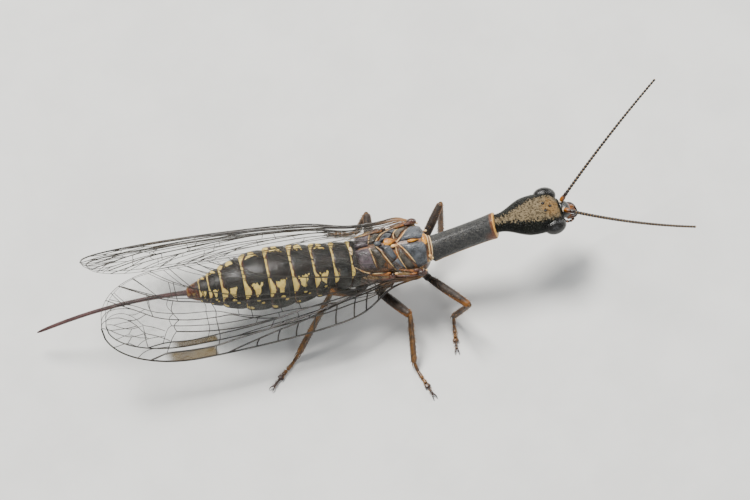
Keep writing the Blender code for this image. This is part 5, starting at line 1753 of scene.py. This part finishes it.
# %% [markdown]
# ### Skin along the wing roots
#
# From each knob a thick fold of skin runs back along the wing root. It fills the valley
# between wing and chest, and is bent from a tube like the seams, only stouter.

# %% Lay the root folds
FOLD_SWELLS, FOLD_FLATNESS = (0.5, 1.0, 0.9, 1.05, 0.8, 0.5, 0.2), 0.6
ROOT_FOLDS = (
    ("fore_skin", ((0.20, 0.84, 2.38), (-0.35, 0.86, 2.44), (-0.98, 0.82, 2.42)), 0.170, root_skin),
    ("hind_skin", ((-0.92, 0.80, 2.36), (-1.40, 0.82, 2.40), (-2.05, 0.74, 2.34)), 0.150, root_skin),
    ("fore_fold", ((0.02, 0.94, 2.46), (-0.34, 0.88, 2.56), (-0.74, 0.78, 2.60)), 0.045, fold_plate),
    ("fore_edge", ((0.00, 1.02, 2.40), (-0.40, 1.02, 2.46), (-0.86, 0.94, 2.44)), 0.050, brown_plate),
    ("hind_fold", ((-1.00, 0.88, 2.44), (-1.40, 0.82, 2.50), (-1.86, 0.72, 2.50)), 0.040, fold_plate),
    ("hind_edge", ((-1.02, 0.96, 2.36), (-1.40, 0.94, 2.40), (-1.90, 0.86, 2.36)), 0.045, brown_plate),
)
for side, half in SIDES:
    for label, line, radius, material in ROOT_FOLDS:
        fold = bent_tube(label, [(x, side * y, z) for x, y, z in line],
                         [radius * swell for swell in FOLD_SWELLS], 12, FOLD_FLATNESS)
        hand_over(fold, label + "_" + half, material)
print("root folds:", 2 * len(ROOT_FOLDS))

# %% [markdown]
# ## Floor and light
#
# The model stands on a plain pale floor. One large soft lamp above and behind the left
# side gives the long highlights on the shell, a weaker one fills the right side, and an
# even pale sky keeps the shadows soft.

# %% Floor
FLOOR_SIZE = 3.0
deselect_all()
bpy.ops.mesh.primitive_plane_add(size=FLOOR_SIZE, location=(0.0, 0.0, 0.0))
floor = bpy.context.object
floor.name = "floor"
floor_paint, tree, shader = new_material("floor_card", 0.85)
spot = node(tree, "ShaderNodeTexCoord").outputs["Object"]
coloured(tree, shader, mottled(tree, spot, colour(232, 232, 228), colour(226, 226, 222), 300.0))
floor.data.materials.append(floor_paint)

# %% Lamps and sky: each lamp's place in metres, power in watts, size and warmth
LAMP_AIM = Vector((0.0, 0.0, 0.002))
LAMPS = {"key": ((-0.05, 0.12, 0.22), 1.22, 0.09, (1.0, 0.98, 0.95)),
         "fill": ((0.08, -0.22, 0.16), 0.25, 0.16, (0.95, 0.97, 1.0)),
         "rim": ((0.20, 0.10, 0.10), 0.20, 0.06, (1.0, 1.0, 1.0))}
SKY_COLOUR, SKY_STRENGTH = (0.92, 0.95, 1.0, 1.0), 0.36
for name, (place, power, size, warmth) in LAMPS.items():
    lamp = bpy.data.objects.new(name, bpy.data.lights.new(name, "AREA"))
    bpy.context.scene.collection.objects.link(lamp)
    lamp.data.energy, lamp.data.size, lamp.data.color = power, size, warmth
    lamp.location = place
    lamp.rotation_euler = (LAMP_AIM - Vector(place)).to_track_quat("-Z", "Y").to_euler()
world = bpy.data.worlds.new("sky")
bpy.context.scene.world = world
world.use_nodes = True
sky = world.node_tree.nodes["Background"]
sky.inputs["Color"].default_value = SKY_COLOUR
sky.inputs["Strength"].default_value = SKY_STRENGTH
print("lamps:", ", ".join(LAMPS), "and an even sky")
